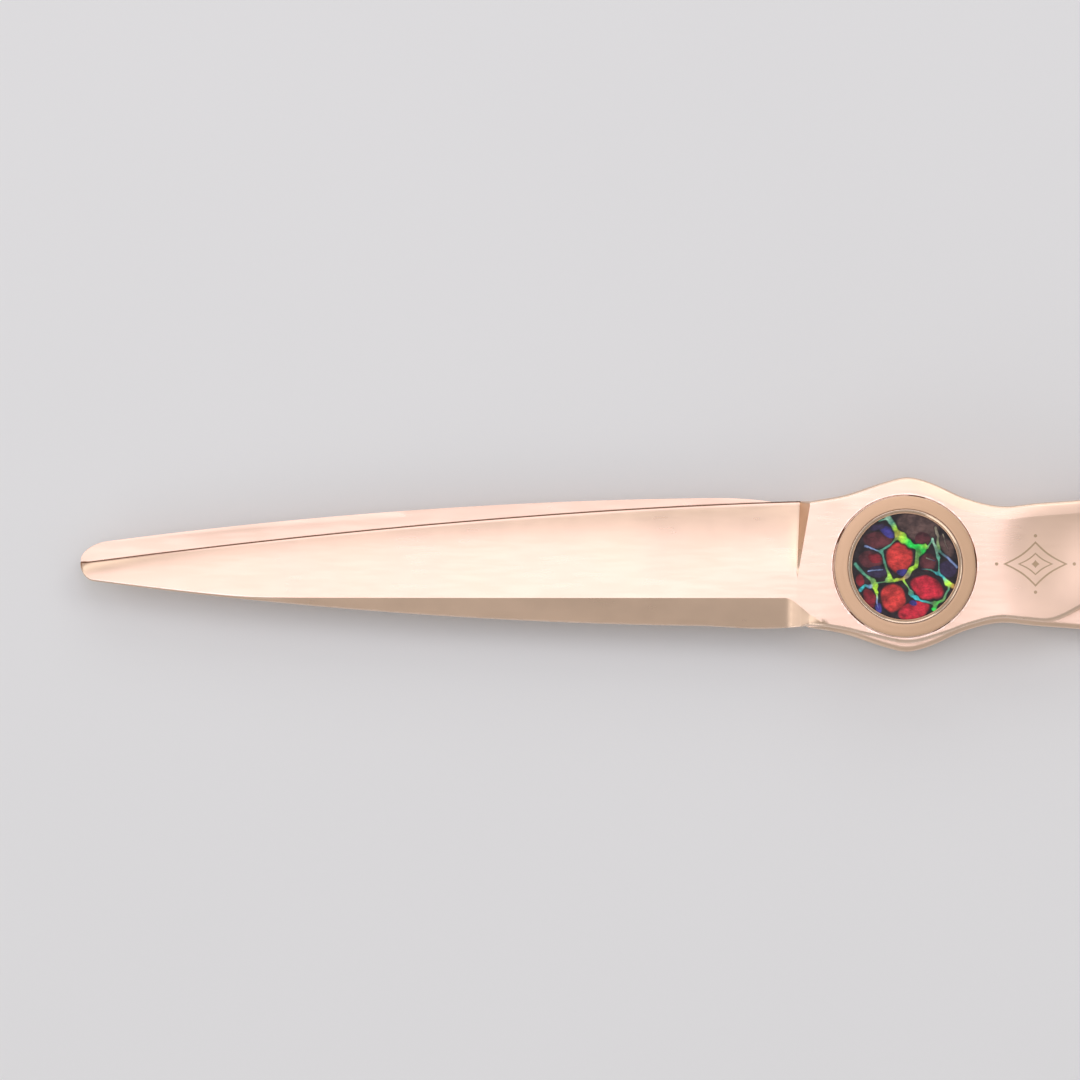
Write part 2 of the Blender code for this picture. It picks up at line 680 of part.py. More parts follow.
def flat_disc(name, radius, low, high, material):
    profile = ((0.0, high), (radius - DISC_EDGE, high), (radius, high - DISC_EDGE), (radius, low),
               (0.0, low))
    return turned(name, profile, material)


def make_bumper(rubber, steel, pivot):
    """A domed rubber stop with a screw through it, standing on the thumb ring."""
    place, gap = bumper_place()
    foot = RING_OUTER_R - BUMPER_SEAT[1] + BUMPER_SEAT_GAP
    top = RING_OUTER_R + gap - BUMPER_STOP_GAP
    stud_r, stud_depth = BUMPER_STUD
    hole_r = stud_r + HOLE_GAP
    sink_width, sink_top, sink_floor = BUMPER_SINK
    dome = [(hole_r, top - sink_floor), (hole_r + sink_width, top - sink_top)]
    dome += [(BUMPER_R - inset, top - drop) for inset, drop in BUMPER_DOME]
    dome += [(BUMPER_R, foot + BUMPER_FOOT_EDGE), (BUMPER_R - BUMPER_FOOT_EDGE, foot), (hole_r, foot)]
    pin_top = top - PIN_SINK
    pin_foot = RING_OUTER_R - stud_depth
    pin = ((0.0, pin_top), (stud_r, pin_top), (stud_r, pin_foot), (0.0, pin_foot))
    pad = turned("bumper", dome, rubber, steps=SMALL_STEPS)
    screw = turned("bumper_screw", pin, steel, steps=SMALL_STEPS)
    for obj in (pad, screw):
        obj.matrix_world = place
        obj.parent = pivot


def bent_rod(name, points, radius):
    """A closed mesh along (place, share of the radius) points, from a curve with filled caps."""
    curve = bpy.data.curves.new(name, "CURVE")
    curve.dimensions = "3D"
    curve.bevel_depth = radius * MM
    curve.bevel_resolution = 3
    curve.use_fill_caps = True
    spline = curve.splines.new("POLY")
    spline.points.add(len(points) - 1)
    for point, (place, share) in zip(spline.points, points):
        point.co = (*(place * MM), 1.0)
        point.radius = share
    rod = bpy.data.objects.new(name, curve)
    shears.objects.link(rod)
    depsgraph = bpy.context.evaluated_depsgraph_get()
    mesh = bpy.data.meshes.new_from_object(rod.evaluated_get(depsgraph))
    bpy.data.objects.remove(rod)
    bm = bmesh.new()
    bm.from_mesh(mesh)
    bmesh.ops.remove_doubles(bm, verts=bm.verts, dist=1e-6)
    bmesh.ops.recalc_face_normals(bm, faces=bm.faces)
    return mesh_from(name, bm)


def make_finger_rest(gold, rubber):
    """The curved tang: a stud in the ring's wall, a washer, and a tapering bent rod."""
    stud_r, stud_depth = FINGER_REST_STUD
    washer_foot, washer_top = (RING_OUTER_R + edge for edge in FINGER_REST_WASHER)
    start = washer_top + FINGER_REST_GAP
    points = [(RING_OUTER_R - stud_depth, 0.0, stud_r / FINGER_REST_R),
              (start - FINGER_REST_NECK, 0.0, stud_r / FINGER_REST_R)]
    spans = len(FINGER_REST_PATH) - 1
    for k in range(FINGER_REST_STEPS + 1):
        along = spans * k / FINGER_REST_STEPS
        i = min(int(along), spans - 1)
        x, y, share = (along_path(i, along - i, axis) for axis in range(3))
        points.append((start + x, y, share))
    turn = Matrix.Rotation(math.radians(FINGER_REST_ANGLE), 3, "Z")
    centre = Vector((FINGER["ring_x"], RING_CENTRE_Y, INNER_Z))
    places = [(turn @ Vector((x, y, 0.0)) + centre, share) for x, y, share in points]
    mesh = bent_rod("finger_rest", places, FINGER_REST_R)
    add_object("finger_rest", mesh, shears, gold)
    washer = flat_ring("finger_rest_washer", stud_r + HOLE_GAP, FINGER_REST_R,
                       washer_foot, washer_top, rubber)
    washer.matrix_world = finger_rest_place()


def along_path(i, t, axis):
    """One coordinate of the finger rest's smooth path, t of the way past its point i."""
    path = FINGER_REST_PATH
    p0, p1, p2, p3 = (path[min(max(j, 0), len(path) - 1)][axis] for j in (i - 1, i, i + 1, i + 2))
    return 0.5 * (2 * p1 + (p2 - p0) * t + (2 * p0 - 5 * p1 + 4 * p2 - p3) * t ** 2
                  + (3 * p1 - p0 - 3 * p2 + p3) * t ** 3)


def add_pivot(name):
    empty = bpy.data.objects.new(name, None)
    shears.objects.link(empty)
    return empty


clear_scene()
shears = new_collection("hair_cutting_shears")
cutters = new_collection("cutters")

finger_gold = new_material("finger_half_rose_gold", ROSE_GOLD, 0.32, 1.0)
thumb_gold = new_material("thumb_half_rose_gold", ROSE_GOLD, 0.32, 1.0)
dial_gold = new_material("dial_gold", DIAL_GOLD, 0.38, 1.0)
steel = new_material("bearing_steel", BEARING_STEEL, 0.2, 1.0)
bolt_gold = new_material("bolt_gold", ROSE_GOLD, 0.3, 1.0)
cage_brass = new_material("cage_brass", (0.75, 0.55, 0.25), 0.35, 1.0)
bushing_bronze = new_material("bushing_bronze", (0.6, 0.4, 0.22), 0.4, 1.0)
washer_plastic = new_material("washer_plastic", (0.85, 0.85, 0.82), 0.5, 0.0)
spring_steel = new_material("spring_steel", (0.5, 0.5, 0.52), 0.3, 1.0)
rubber = new_material("rubber", (0.03, 0.03, 0.03), 0.8, 0.0)
backing_dark = new_material("backing_dark", (0.02, 0.015, 0.012), 0.6, 0.0)
mosaic_stone = new_material("mosaic_stone", (0.35, 0.06, 0.04), 0.12, 0.0)

thumb_axis = add_pivot("blade_pivot_axis")
cage_axis = add_pivot("bearing_cage_axis")
dial_axis = add_pivot("tension_dial_axis")

make_finger_half(finger_gold)
make_thumb_half(thumb_gold, thumb_axis)
make_bolt(bolt_gold)
flat_ring("pivot_bushing", *BUSHING, bushing_bronze, BORE_STEPS).parent = thumb_axis
flat_ring("rear_glide_washer", *GLIDE_WASHER, washer_plastic, BORE_STEPS).parent = thumb_axis
make_bearing(steel, cage_brass, thumb_axis, cage_axis)
make_click_plate(spring_steel)
make_wave_washer(spring_steel)
make_dial(dial_gold, backing_dark, mosaic_stone, dial_axis)
make_bumper(rubber, steel, thumb_axis)
make_finger_rest(finger_gold, rubber)
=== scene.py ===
"""The looks of a pair of hair cutting shears: fine meshes, materials, floor, lights and camera.

Lengths are in millimetres until a mesh is made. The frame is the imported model's: the pivot's axis
is Z, the tips point along -X, and the shears lie on z = 0.
"""

from math import atan2, ceil, cos, exp, hypot, pi, radians, sin, sqrt, tau

import bmesh
import bpy
from mathutils import Matrix, Vector, noise


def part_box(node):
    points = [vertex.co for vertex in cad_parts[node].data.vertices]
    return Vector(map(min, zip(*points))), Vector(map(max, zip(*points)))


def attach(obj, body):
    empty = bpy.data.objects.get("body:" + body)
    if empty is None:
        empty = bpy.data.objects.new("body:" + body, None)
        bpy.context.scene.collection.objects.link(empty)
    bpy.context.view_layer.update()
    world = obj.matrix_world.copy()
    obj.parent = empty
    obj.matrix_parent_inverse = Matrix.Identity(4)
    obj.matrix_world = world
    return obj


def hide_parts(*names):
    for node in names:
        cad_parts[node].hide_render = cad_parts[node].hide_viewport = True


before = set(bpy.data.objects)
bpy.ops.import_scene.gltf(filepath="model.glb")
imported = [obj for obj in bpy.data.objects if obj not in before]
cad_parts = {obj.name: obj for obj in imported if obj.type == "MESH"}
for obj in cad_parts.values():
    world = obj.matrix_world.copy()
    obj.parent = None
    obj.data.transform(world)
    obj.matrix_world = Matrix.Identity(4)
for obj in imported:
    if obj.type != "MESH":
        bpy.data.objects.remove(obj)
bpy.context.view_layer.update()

MM = 0.001


def span(node, axis=2):
    """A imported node's lowest and highest place along an axis, Z if none is given."""
    low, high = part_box(node)
    return low[axis] / MM, high[axis] / MM


# ---- sizes

# The halves, in their own frame: x along the shears, y towards the ring, z outwards.
TIP_X = span("finger_half", 0)[0]
INNER_GAP = 0.1
INNER_Z = span("finger_half")[1] / 2
FINGER_Z = INNER_Z + INNER_GAP / 2
SHOULDER_X = -8.7
HANDLE_X = 34.0
TIP_WIDTH = 0.15
TIP_END_THICKNESS = 0.42
TIP_THICKNESS = 0.68
BOSS_THICKNESS = 2.45
EDGE_THICKNESS = 0.12
EDGE_RADIUS = 0.025
HONED_EDGE = (0.13, 0.11)
# Colour of the painted shadow line along each cutting edge, standing in for the shade in the gap
# between the blades.
EDGE_SHADOW_TONE = (0.2, 0.105, 0.065)
BEVEL_ROUNDNESS = 0.3
HEEL_X = (-24.0, -9.5)
HEEL_EDGE_THICKNESS = 0.7
HEEL_FLAT = 0.27
HEEL_CURVE = 1.4
CUT_WIDTH = 5.2
CUT_LENGTH = 66.0
CUT_CURVE = 1.65
SPINE_TIP_WIDTH = 1.5
SPINE_WIDTH = 5.38
SPINE_LENGTH = 56.9
CURVE_START = 0.4
RIDGE_WIDTH = 3.0
RIDGE_FALL = 1.95
RIDGE_FALL_X = (-10.0, -6.8)
RIDGE_GONE_X = (-7.2, -6.4)
RIDGE_MARGIN = 0.12
RIDGE_SOFTNESS = 0.25
BACK_SLOPE = 0.6
BACK_ROUNDING = 0.12
SPINE_TO_BOSS_X = -17.0
FINGER = {"ring_x": 68.95, "blade_y": 0.36, "slimmer": 0.0, "tip_round": 1.1}
THUMB = {"ring_x": 56.0, "blade_y": -0.36, "slimmer": 0.3, "tip_round": 2.2}
RING_SIDE = (
    (-7.9, 5.44), (-5.0, 5.95), (-1.6, 7.05), (0.3, 7.44), (2.3, 6.95), (5.0, 5.75), (8.0, 5.04),
    (11.0, 5.28), (14.6, 5.55), (20.0, 6.1), (27.0, 7.2), (34.0, 8.4))
FAR_SIDE = (
    (-8.9, -5.08), (-7.5, -4.95), (-5.0, -5.3), (-2.9, -5.8), (0.4, -6.4), (3.35, -5.64),
    (5.4, -4.9), (7.9, -4.32), (10.2, -4.5), (12.3, -4.6), (14.6, -3.6), (18.0, -1.5),
    (22.0, 0.45), (28.0, 2.4), (34.0, 3.6))
SHANK_SLOPE = (0.165, 0.17)
SHANK_DROP_X = (23.0, 33.5)
SHANK_RISE_X = 8.0
SLIMMER_ENDS_X = (14.0, 26.0)
BOSS_ROUNDING = 0.3
RING_CENTRE_Y = 15.0
FINGER_RING = (FINGER["ring_x"], RING_CENTRE_Y)
RING_OUTER_R = 14.25
RING_HOLE_R = 10.75
RING_TOP = 2.85
RING_BOTTOM = -2.95
RING_ROUNDING = (1.25, 1.9)
OUTER_FILLET = 6.0
INNER_FILLET = 8.0

# The step where the blade's grinding ends: width at the edge, lean, and reach across the bevel.
SHOULDER_WIDTH = 0.8
SHOULDER_LEAN = 0.3
SHOULDER_REACH = 0.73
SHOULDER_LEAST = 0.05

# The ground hollow of the blade's inner face; its ride line is a share of the width.
INNER_HOLLOW = 0.1
INNER_HOLLOW_END_X = (-16.0, -14.0)
RIDE_LINE = 0.12

# The boss and shank: a slight crown, a dip along the shank, and on the ring's side a hollow, a
# chamfer and soft edges. X lists give where each one starts, is full, and ends.
CROWN = 0.07
CROWN_X = (-7.5, -4.0, 5.0, 9.0)
SHANK_DIP = 0.63
SHANK_DIP_X = (8.0, 20.0, 21.0, 32.0)
SHANK_HOLLOW = 0.22
SHANK_HOLLOW_X = (7.0, 14.0, 15.0, 22.0)
HOLLOW_PEAK = 27 / 4  # makes the hollow's deepest place 1
CHAMFER = (0.72, 0.18)
CHAMFER_CREASE = 0.006
TOP_END = 0.999
CHAMFER_X = (-3.0, 3.0, 16.0, 24.0)
SOFT_EDGE = (0.35, 0.22)
SOFT_FOOT = (0.5, 0.32)
SOFT_FOOT_X = (-8.4, -6.0)
SOFT_EDGE_X = (-4.0, 0.0, 20.0, 30.0)

# How finely things are divided. The sections' steps are (up to x, longest step).
TIP_ROWS = 14
BLADE_STEPS = ((-12.0, 0.9), (SHOULDER_X - 0.4, 0.2))
BOSS_START_X = -7.0
SHANK_STEPS = ((16.0, 0.28), (HANDLE_X, 0.6))
SIDE_STEPS = 7
BEVEL_COLUMNS = 30
INNER_COLUMNS = 12
SHOULDER_ROWS = 8
CONTOUR_STEPS = 170
HOLE_STEPS = 144
FILLET_STEPS = 16
ROUND_STEPS = 160
SMALL_STEPS = 48
PROFILE_STEP = 0.3
OFF_THE_SEAM = 1.0

# The pivot, radii and heights above the floor.
BOLT_R = 2.0
BOLT_FLAT = 1.55
BOLT_FLATS_FROM = 3.78
BOLT_HEAD_TOP = 0.8
SPANNER_HOLE = (0.45, 2.8)
BEARING_SEAT_R = 4.5
DIAL_SEAT_R = 5.96
DIAL_SEAT_CHAMFER = (0.48, 0.08)
DIAL_SPACE_R = (5.3, 4.0, 2.75)
DIAL_SPACE_Z = (5.42, 5.85)
STONE_SEAT = (4.8, 6.1)
BEZEL_BORE = 4.52
HEAD_SEAT = (4.6, 1.08)
BUSHING_BORE = 2.6
CLEARANCE = 0.05
RACE_ROOM = 0.03
BALL_CIRCLE = 3.55
BALLS = 10
INLAY_DOME = 0.02
INLAY_EDGE = 0.05
INLAY_MESH = (110, 380)

# The bumper and the finger rest.
BUMPER_R = 2.1
BUMPER_SEAT = (2.35, 0.45)
BUMPER_STUD = (0.9, 2.4)
BUMPER_STEPS = (96, 64)
STUD_HOLE_END = 0.15
REST_ANGLE = 14.0
REST_STUD = (1.2, 2.6)
REST_R = 2.0
REST_WASHER = (0.05, 0.5)
REST_PATH = ((0.0, 0.0, 1.0), (2.5, 0.0, 0.95), (6.5, 0.5, 0.82), (11.0, 2.4, 0.76),
             (15.0, 6.2, 0.76), (17.3, 10.8, 0.86), (18.3, 14.6, 1.1), (18.5, 16.2, 1.07))
REST_TIP = 1.6
REST_STEPS = (72, 40)


# ---- shape of a half


def clamp(value, low=0.0, high=1.0):
    return min(max(value, low), high)


def blend(low, high, x):
    """0 before low, 1 after high, and an S between them."""
    t = clamp((x - low) / (high - low))
    return t * t * (3 - 2 * t)


def mix(a, b, share):
    return a + (b - a) * share


def between(x, places):
    """Up from 0 to 1 over the first two places, and back over the last two."""
    return blend(places[0], places[1], x) * (1 - blend(places[2], places[3], x))


def through(points, x):
    """Height at x of the smooth curve through the points, straight on past its ends."""
    slopes = []
    for i in range(len(points)):
        a = points[max(i - 1, 0)]
        b = points[min(i + 1, len(points) - 1)]
        slopes.append((b[1] - a[1]) / (b[0] - a[0]))
    for (x0, y0), (x1, y1), m0, m1 in zip(points, points[1:], slopes, slopes[1:]):
        if x <= x1:
            break
    t = (x - x0) / (x1 - x0)
    if t < 0 or t > 1:
        return y0 + m0 * (x - x0) if t < 0 else y1 + m1 * (x - x1)
    step = x1 - x0
    return ((2 * t ** 3 - 3 * t ** 2 + 1) * y0 + (t ** 3 - 2 * t ** 2 + t) * step * m0
            + (3 * t ** 2 - 2 * t ** 3) * y1 + (t ** 3 - t ** 2) * step * m1)


def cutting_edge(x):
    """Distance of the cutting edge from the blade's axis."""
    u = clamp((x - TIP_X - CURVE_START) / CUT_LENGTH)
    return CUT_WIDTH * (1 - (1 - u) ** CUT_CURVE)


def rounded_off(x, tip_round):
    """1 at the very tip, 0 past its rounding."""
    left = max(1 - (x - TIP_X) / tip_round, 0.0)
    return 1 - sqrt(1 - left ** 2)


def spine(x, tip_round):
    """Distance of the blade's back from its axis."""
    u = clamp((x - TIP_X - CURVE_START) / SPINE_LENGTH)
    width = mix(SPINE_WIDTH, SPINE_TIP_WIDTH, (1 - u) ** 2)
    return width - (SPINE_TIP_WIDTH - TIP_WIDTH) * rounded_off(x, tip_round)


def ridge(x, back):
    """Distance of the ridge between the two bevels from the blade's axis."""
    near_back = back - RIDGE_MARGIN
    straight = RIDGE_WIDTH + RIDGE_FALL * blend(*RIDGE_FALL_X, x)
    return (near_back + straight) / 2 - hypot(near_back - straight, RIDGE_SOFTNESS) / 2


def blade_height(x, tip_round):
    """Height of the ridge above the inner face."""
    u = clamp((x - TIP_X) / (SHOULDER_X - TIP_X))
    height = mix(TIP_THICKNESS, BOSS_THICKNESS, u)
    return height - (TIP_THICKNESS - TIP_END_THICKNESS) * rounded_off(x, tip_round)


def bevel_fall(x, v):
    """How far the wide bevel has fallen, from 0 at the ridge to 1 at the cutting edge."""
    heel = blend(*HEEL_X, x)
    at_heel = (max(v - HEEL_FLAT, 0.0) / (1 - HEEL_FLAT)) ** HEEL_CURVE
    return mix(mix(v, v ** 3, BEVEL_ROUNDNESS), at_heel, heel)


def side_profile(low, high, rounding_low, rounding_high):
    """Points (inset, z) up a side, rounded by (inset, height) at its foot and at its top."""
    foot = []
    top = []
    for k in range(SIDE_STEPS + 1):
        angle = pi / 2 * k / SIDE_STEPS
        foot.append((rounding_low[0] * (1 - sin(angle)),
                     low + rounding_low[1] * (1 - cos(angle))))
        top.append((rounding_high[0] * (1 - cos(angle)),
                    high - rounding_high[1] * (1 - sin(angle))))
    return foot + top


def across(start, end, steps):
    """Values between start and end, without those two."""
    return [mix(start, end, k / (steps + 1)) for k in range(1, steps + 1)]


def blade_row(x, half):
    """A section of the blade: up the edge, over the bevel, down the back, along the inner face."""
    axis_y = half["blade_y"]
    edge_y = axis_y + cutting_edge(x)
    back = spine(x, half["tip_round"])
    near_boss = blend(SPINE_TO_BOSS_X, SHOULDER_X + SHOULDER_WIDTH, x)
    back_y = mix(axis_y - back, through(FAR_SIDE, x), near_boss)
    margin = min(RIDGE_MARGIN, (edge_y - back_y) / 3)
    ridge_y = clamp(axis_y - ridge(x, back), back_y + margin, edge_y - margin)
    height = blade_height(x, half["tip_round"])
    back_height = height - BACK_SLOPE * (ridge_y - back_y)
    tiny = (EDGE_RADIUS, EDGE_RADIUS)
    rounding = min(BACK_ROUNDING, (ridge_y - back_y) / 3)
    edge = mix(EDGE_THICKNESS, HEEL_EDGE_THICKNESS, blend(*HEEL_X, x))
    honed = (min(HONED_EDGE[0], (edge_y - ridge_y) / 4), HONED_EDGE[1])
    row = [(x, edge_y - i, z) for i, z in side_profile(0, edge, tiny, honed)]
    for k in range(1, BEVEL_COLUMNS + 1):
        v = 1 - k / BEVEL_COLUMNS
        row.append((x, mix(ridge_y, edge_y - honed[0], v), mix(height, edge, bevel_fall(x, v))))
    side = side_profile(0, back_height - BACK_SLOPE * rounding / 2, tiny, (rounding, rounding))
    row += [(x, back_y + i, z) for i, z in reversed(side)]
    depth = INNER_HOLLOW * blend(TIP_X + 1, TIP_X + 14, x) * (1 - blend(*INNER_HOLLOW_END_X, x))
    for y in across(back_y + EDGE_RADIUS, edge_y - EDGE_RADIUS, INNER_COLUMNS):
        share = (y - back_y) / (edge_y - back_y)
        row.append((x, y, depth * sin(pi * clamp(share / (1 - RIDE_LINE))) ** 0.7))
    return row


def ring_side(x, half):
    """The boss and shank's outline on the ring's side."""
    return through(RING_SIDE, x) - half["slimmer"] * (1 - blend(*SLIMMER_ENDS_X, x))


def shank_top(x, share):
    """Height of the boss or shank; share goes across it from the ring's side."""
    top = mix(BOSS_THICKNESS, RING_TOP, blend(SHANK_RISE_X, HANDLE_X, x))
    crown = CROWN * (2 * share - 1) ** 2 * between(x, CROWN_X)
    hollow = SHANK_HOLLOW * HOLLOW_PEAK * share * (1 - share) ** 2 * between(x, SHANK_HOLLOW_X)
    return top - crown - hollow - SHANK_DIP * between(x, SHANK_DIP_X)


def shank_edges(x, half):
    """Where a section's top starts and ends, and each side's rounding (inset, height)."""
    rise = blend(SHANK_RISE_X, HANDLE_X, x)
    plain = [mix(BOSS_ROUNDING, full, rise) for full in RING_ROUNDING]
    soft = between(x, SOFT_EDGE_X)
    ring_rounding = [mix(a, b, soft) for a, b in zip(plain, SOFT_EDGE)]
    far_y = through(FAR_SIDE, x)
    run_out = half["blade_y"] - ridge(x, half["blade_y"] - far_y) - far_y
    run_out = mix(max(run_out, plain[0]), plain[0], blend(*RIDGE_GONE_X, x))
    return ring_side(x, half) - ring_rounding[0], far_y + run_out, ring_rounding, plain


def shank_row(x, half):
    """A section of the boss or shank, with as many points as the blade's. Past the crotch its
    underside drops to the rings' full depth."""
    drop = blend(*SHANK_DROP_X, x)
    low = RING_BOTTOM * drop
    at_foot = [mix(EDGE_RADIUS, full, drop) for full in RING_ROUNDING]
    inner, outer, ring_rounding, plain = shank_edges(x, half)
    ring_y = ring_side(x, half)
    far_y = through(FAR_SIDE, x)
    soft = blend(*SOFT_FOOT_X, x) * (1 - drop)
    ring_foot = [mix(a, b, soft) for a, b in zip(at_foot, SOFT_FOOT)]
    chamfer = between(x, CHAMFER_X)
    ring_edge = side_profile(low, shank_top(x, 0) - CHAMFER[1] * chamfer, ring_foot, ring_rounding)
    far_top = shank_top(x, 1) - BACK_SLOPE * (outer - far_y - plain[0])
    far_edge = side_profile(low, far_top, at_foot, plain)
    row = [(x, ring_y - i, z) for i, z in ring_edge]
    first = mix(1 / BEVEL_COLUMNS, CHAMFER[0] / (inner - outer), chamfer)
    second = first + mix(1 / BEVEL_COLUMNS, CHAMFER_CREASE, chamfer)
    last = BEVEL_COLUMNS - 2
    for share in [first] + [mix(second, TOP_END, k / last) for k in range(last + 1)]:
        row.append((x, mix(inner, outer, share), shank_top(x, share)))
    row += [(x, far_y + i, z) for i, z in reversed(far_edge)]
    row += [(x, y, low) for y in across(far_y + at_foot[0], ring_y - ring_foot[0], INNER_COLUMNS)]
    return row


def shoulder_rows(half):
    """The step where the blade's grinding ends: a flat facet, widest at the cutting edge, which
    runs out before the ridge."""
    foot = blade_row(SHOULDER_X, half)
    top = shank_row(SHOULDER_X + SHOULDER_WIDTH, half)
    side = 2 * (SIDE_STEPS + 1)
    rows = [[] for _ in range(SHOULDER_ROWS + 1)]
    for k, (low, high) in enumerate(zip(foot, top)):
        share = (k - side + 1) / BEVEL_COLUMNS
        if 0 < share < 1:
            lean = clamp(share / SHOULDER_REACH)
            x0 = SHOULDER_X - SHOULDER_LEAN * lean
            x1 = x0 + SHOULDER_WIDTH * (1 - lean) + SHOULDER_LEAST
            low = (x0, low[1], low[2])
            high = (x1, low[1], high[2])
        for j, row in enumerate(rows):
            row.append(tuple(mix(a, b, j / SHOULDER_ROWS) for a, b in zip(low, high)))
    return rows


def steps(start, parts):
    """Places from start up to the last part's end, which is left out."""
    found = []
    for end, longest in parts:
        count = max(ceil((end - start) / longest), 1)
        found += [mix(start, end, k / count) for k in range(count)]
        start = end
    return found


def half_rows(half):
    """A half's sections from the tip to the handle."""
    tip = half["tip_round"]
    places = [TIP_X + tip * (1 - cos(pi / 2 * k / TIP_ROWS)) for k in range(TIP_ROWS)]
    rows = [blade_row(x, half) for x in places + steps(TIP_X + tip, BLADE_STEPS)]
    rows += shoulder_rows(half)
    rows += [shank_row(x, half) for x in steps(BOSS_START_X, SHANK_STEPS) + [HANDLE_X]]
    return rows


def fillet(start, slope, centre, radius, side):
    """A fillet between a straight edge and the ring: its centre, and the directions to the edge
    and to the ring. side is 1 above the edge and -1 below it."""
    along = Vector((1.0, slope)).normalized()
    normal = Vector((-along.y, along.x)) * side
    base = Vector(start) + normal * radius - centre
    reach = RING_OUTER_R + radius
    half = base.dot(along)
    t = -half - sqrt(half ** 2 - base.dot(base) + reach ** 2)
    middle = centre + base + along * t
    return middle, -normal, (centre - middle).normalized()


def arc(centre, radius, start, end, count, outward):
    """Points and outward normals on an arc, from one angle to another in radians."""
    found = []
    for k in range(count + 1):
        angle = mix(start, end, k / count)
        direction = Vector((cos(angle), sin(angle)))
        found.append((centre + direction * radius, direction * outward))
    return found


def handle_contour(ring_x):
    """Points and outward normals round the handle."""
    centre = Vector((ring_x, RING_CENTRE_Y))
    ring_end = (HANDLE_X, through(RING_SIDE, HANDLE_X))
    far_end = (HANDLE_X, through(FAR_SIDE, HANDLE_X))
    outer, outer_from, outer_to = fillet(ring_end, SHANK_SLOPE[0], centre, OUTER_FILLET, 1)
    inner, inner_from, inner_to = fillet(far_end, SHANK_SLOPE[1], centre, INNER_FILLET, -1)
    a0, a1, b0, b1 = (atan2(to.y, to.x) for to in (outer_from, outer_to, inner_to, inner_from))
    contour = arc(outer, OUTER_FILLET, a0, a1, FILLET_STEPS, -1)
    contour += arc(centre, RING_OUTER_R, a1 + pi, b0 - pi, CONTOUR_STEPS, 1)[1:-1]
    contour += arc(inner, INNER_FILLET, b0, b1, FILLET_STEPS, -1)
    return contour


def vertex(bm, x, y, z):
    return bm.verts.new(Vector((x, y, z)) * MM)


def upright(bm, contour, sides, into):
    """Columns of points up the rounded side on a contour; into is -1 if its inset goes inwards."""
    return [[vertex(bm, *(point + normal * inset * into), z) for inset, z in sides]
            for point, normal in contour]


def bridge(bm, columns):
    """Faces between neighbouring columns of points."""
    for left, right in zip(columns, columns[1:]):
        for corners in zip(left, right, right[1:], left[1:]):
            bm.faces.new(corners)


def wrap(bm, loops):
    """Faces between neighbouring closed loops of points."""
    for before, after in zip(loops, loops[1:]):
        for corners in zip(before, before[1:] + before[:1], after[1:] + after[:1], after):
            bm.faces.new(corners)


def loop_edges(bm, points):
    return [bm.edges.get(ends) or bm.edges.new(ends)
            for ends in zip(points, points[1:] + points[:1])]


def half_object(name, half):
    """A whole half as one closed mesh: blade, boss, shank and ring."""
    bm = bmesh.new()
    # The cutting edge's side is marked for a painted shadow line, standing in for the shade in the
    # gap between the blades.
    dark = bm.verts.layers.float.new("painted_edge_shadow")
    rows = [[vertex(bm, *place) for place in row] for row in half_rows(half)]
    for row in rows:
        if row[0].co.x < SHOULDER_X * MM:
            for honed in row[:2 * SIDE_STEPS + 1]:
                honed[dark] = 1.0
    wrap(bm, rows)
    bm.faces.new(rows[0])

    sides = side_profile(RING_BOTTOM, RING_TOP, RING_ROUNDING, RING_ROUNDING)
    count = len(sides)
    outside = 2 * count + BEVEL_COLUMNS
    columns = [rows[-1][:count]]
    columns += upright(bm, handle_contour(half["ring_x"]), sides, -1)
    columns.append(rows[-1][outside - count:outside][::-1])
    bridge(bm, columns)

    centre = Vector((half["ring_x"], RING_CENTRE_Y))
    circle = arc(centre, RING_HOLE_R, 0.0, tau, HOLE_STEPS, 1)[:-1]
    hole = upright(bm, circle, sides, 1)
    bridge(bm, hole + hole[:1])

    top, bottom = rows[-1][count:outside - count][::-1], rows[-1][outside:]
    for end, across_shank, up in ((-1, top, 1.0), (0, bottom, -1.0)):
        edges = loop_edges(bm, [column[end] for column in columns] + across_shank)
        edges += loop_edges(bm, [column[end] for column in hole])
        bmesh.ops.triangle_fill(bm, use_beauty=True, edges=edges, normal=(0.0, 0.0, up))
    bmesh.ops.recalc_face_normals(bm, faces=bm.faces)
    return made(name, bm)


# ---- making objects


def add_object(name, data):
    obj = bpy.data.objects.new(name, data)
    bpy.context.scene.collection.objects.link(obj)
    return obj


def made(name, bm):
    """An object whose mesh is what bm holds."""
    mesh = bpy.data.meshes.new(name)
    bm.to_mesh(mesh)
    bm.free()
    return add_object(name, mesh)


def shift(x, y, z):
    return Matrix.Translation(Vector((x, y, z)) * MM)


def mark_bends(mesh):
    """Stores how tightly each vertex bends: above 0 on an edge, below 0 in a corner."""
    bm = bmesh.new()
    bm.from_mesh(mesh)
    bend = bm.verts.layers.float.new("bend")
    for edge in bm.edges:
        one, other = edge.link_faces
        apart = (one.calc_center_median() - other.calc_center_median()).length / MM
        value = edge.calc_face_angle_signed(0.0) / max(apart, 0.05)
        for end in edge.verts:
            if abs(value) > abs(end[bend]):
                end[bend] = value
    bm.to_mesh(mesh)
    bm.free()


def belongs(obj, body, slot, *nodes):
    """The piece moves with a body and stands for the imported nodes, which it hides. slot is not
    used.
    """
    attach(obj, body)
    if nodes:
        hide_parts(*nodes)


def finished(obj, material, body, slot, *nodes, sharp_deg=26.0):
    """A material, smooth shading with hard edges and flat large faces, and where it belongs."""
    mesh = obj.data
    mark_bends(mesh)
    mesh.materials.clear()
    mesh.materials.append(material)
    mesh.shade_smooth()
    mesh.set_sharp_from_angle(angle=radians(sharp_deg))
    flat = obj.modifiers.new("flat faces stay flat", "WEIGHTED_NORMAL")
    flat.keep_sharp = True
    flat.weight = 80
    belongs(obj, body, slot, *nodes)


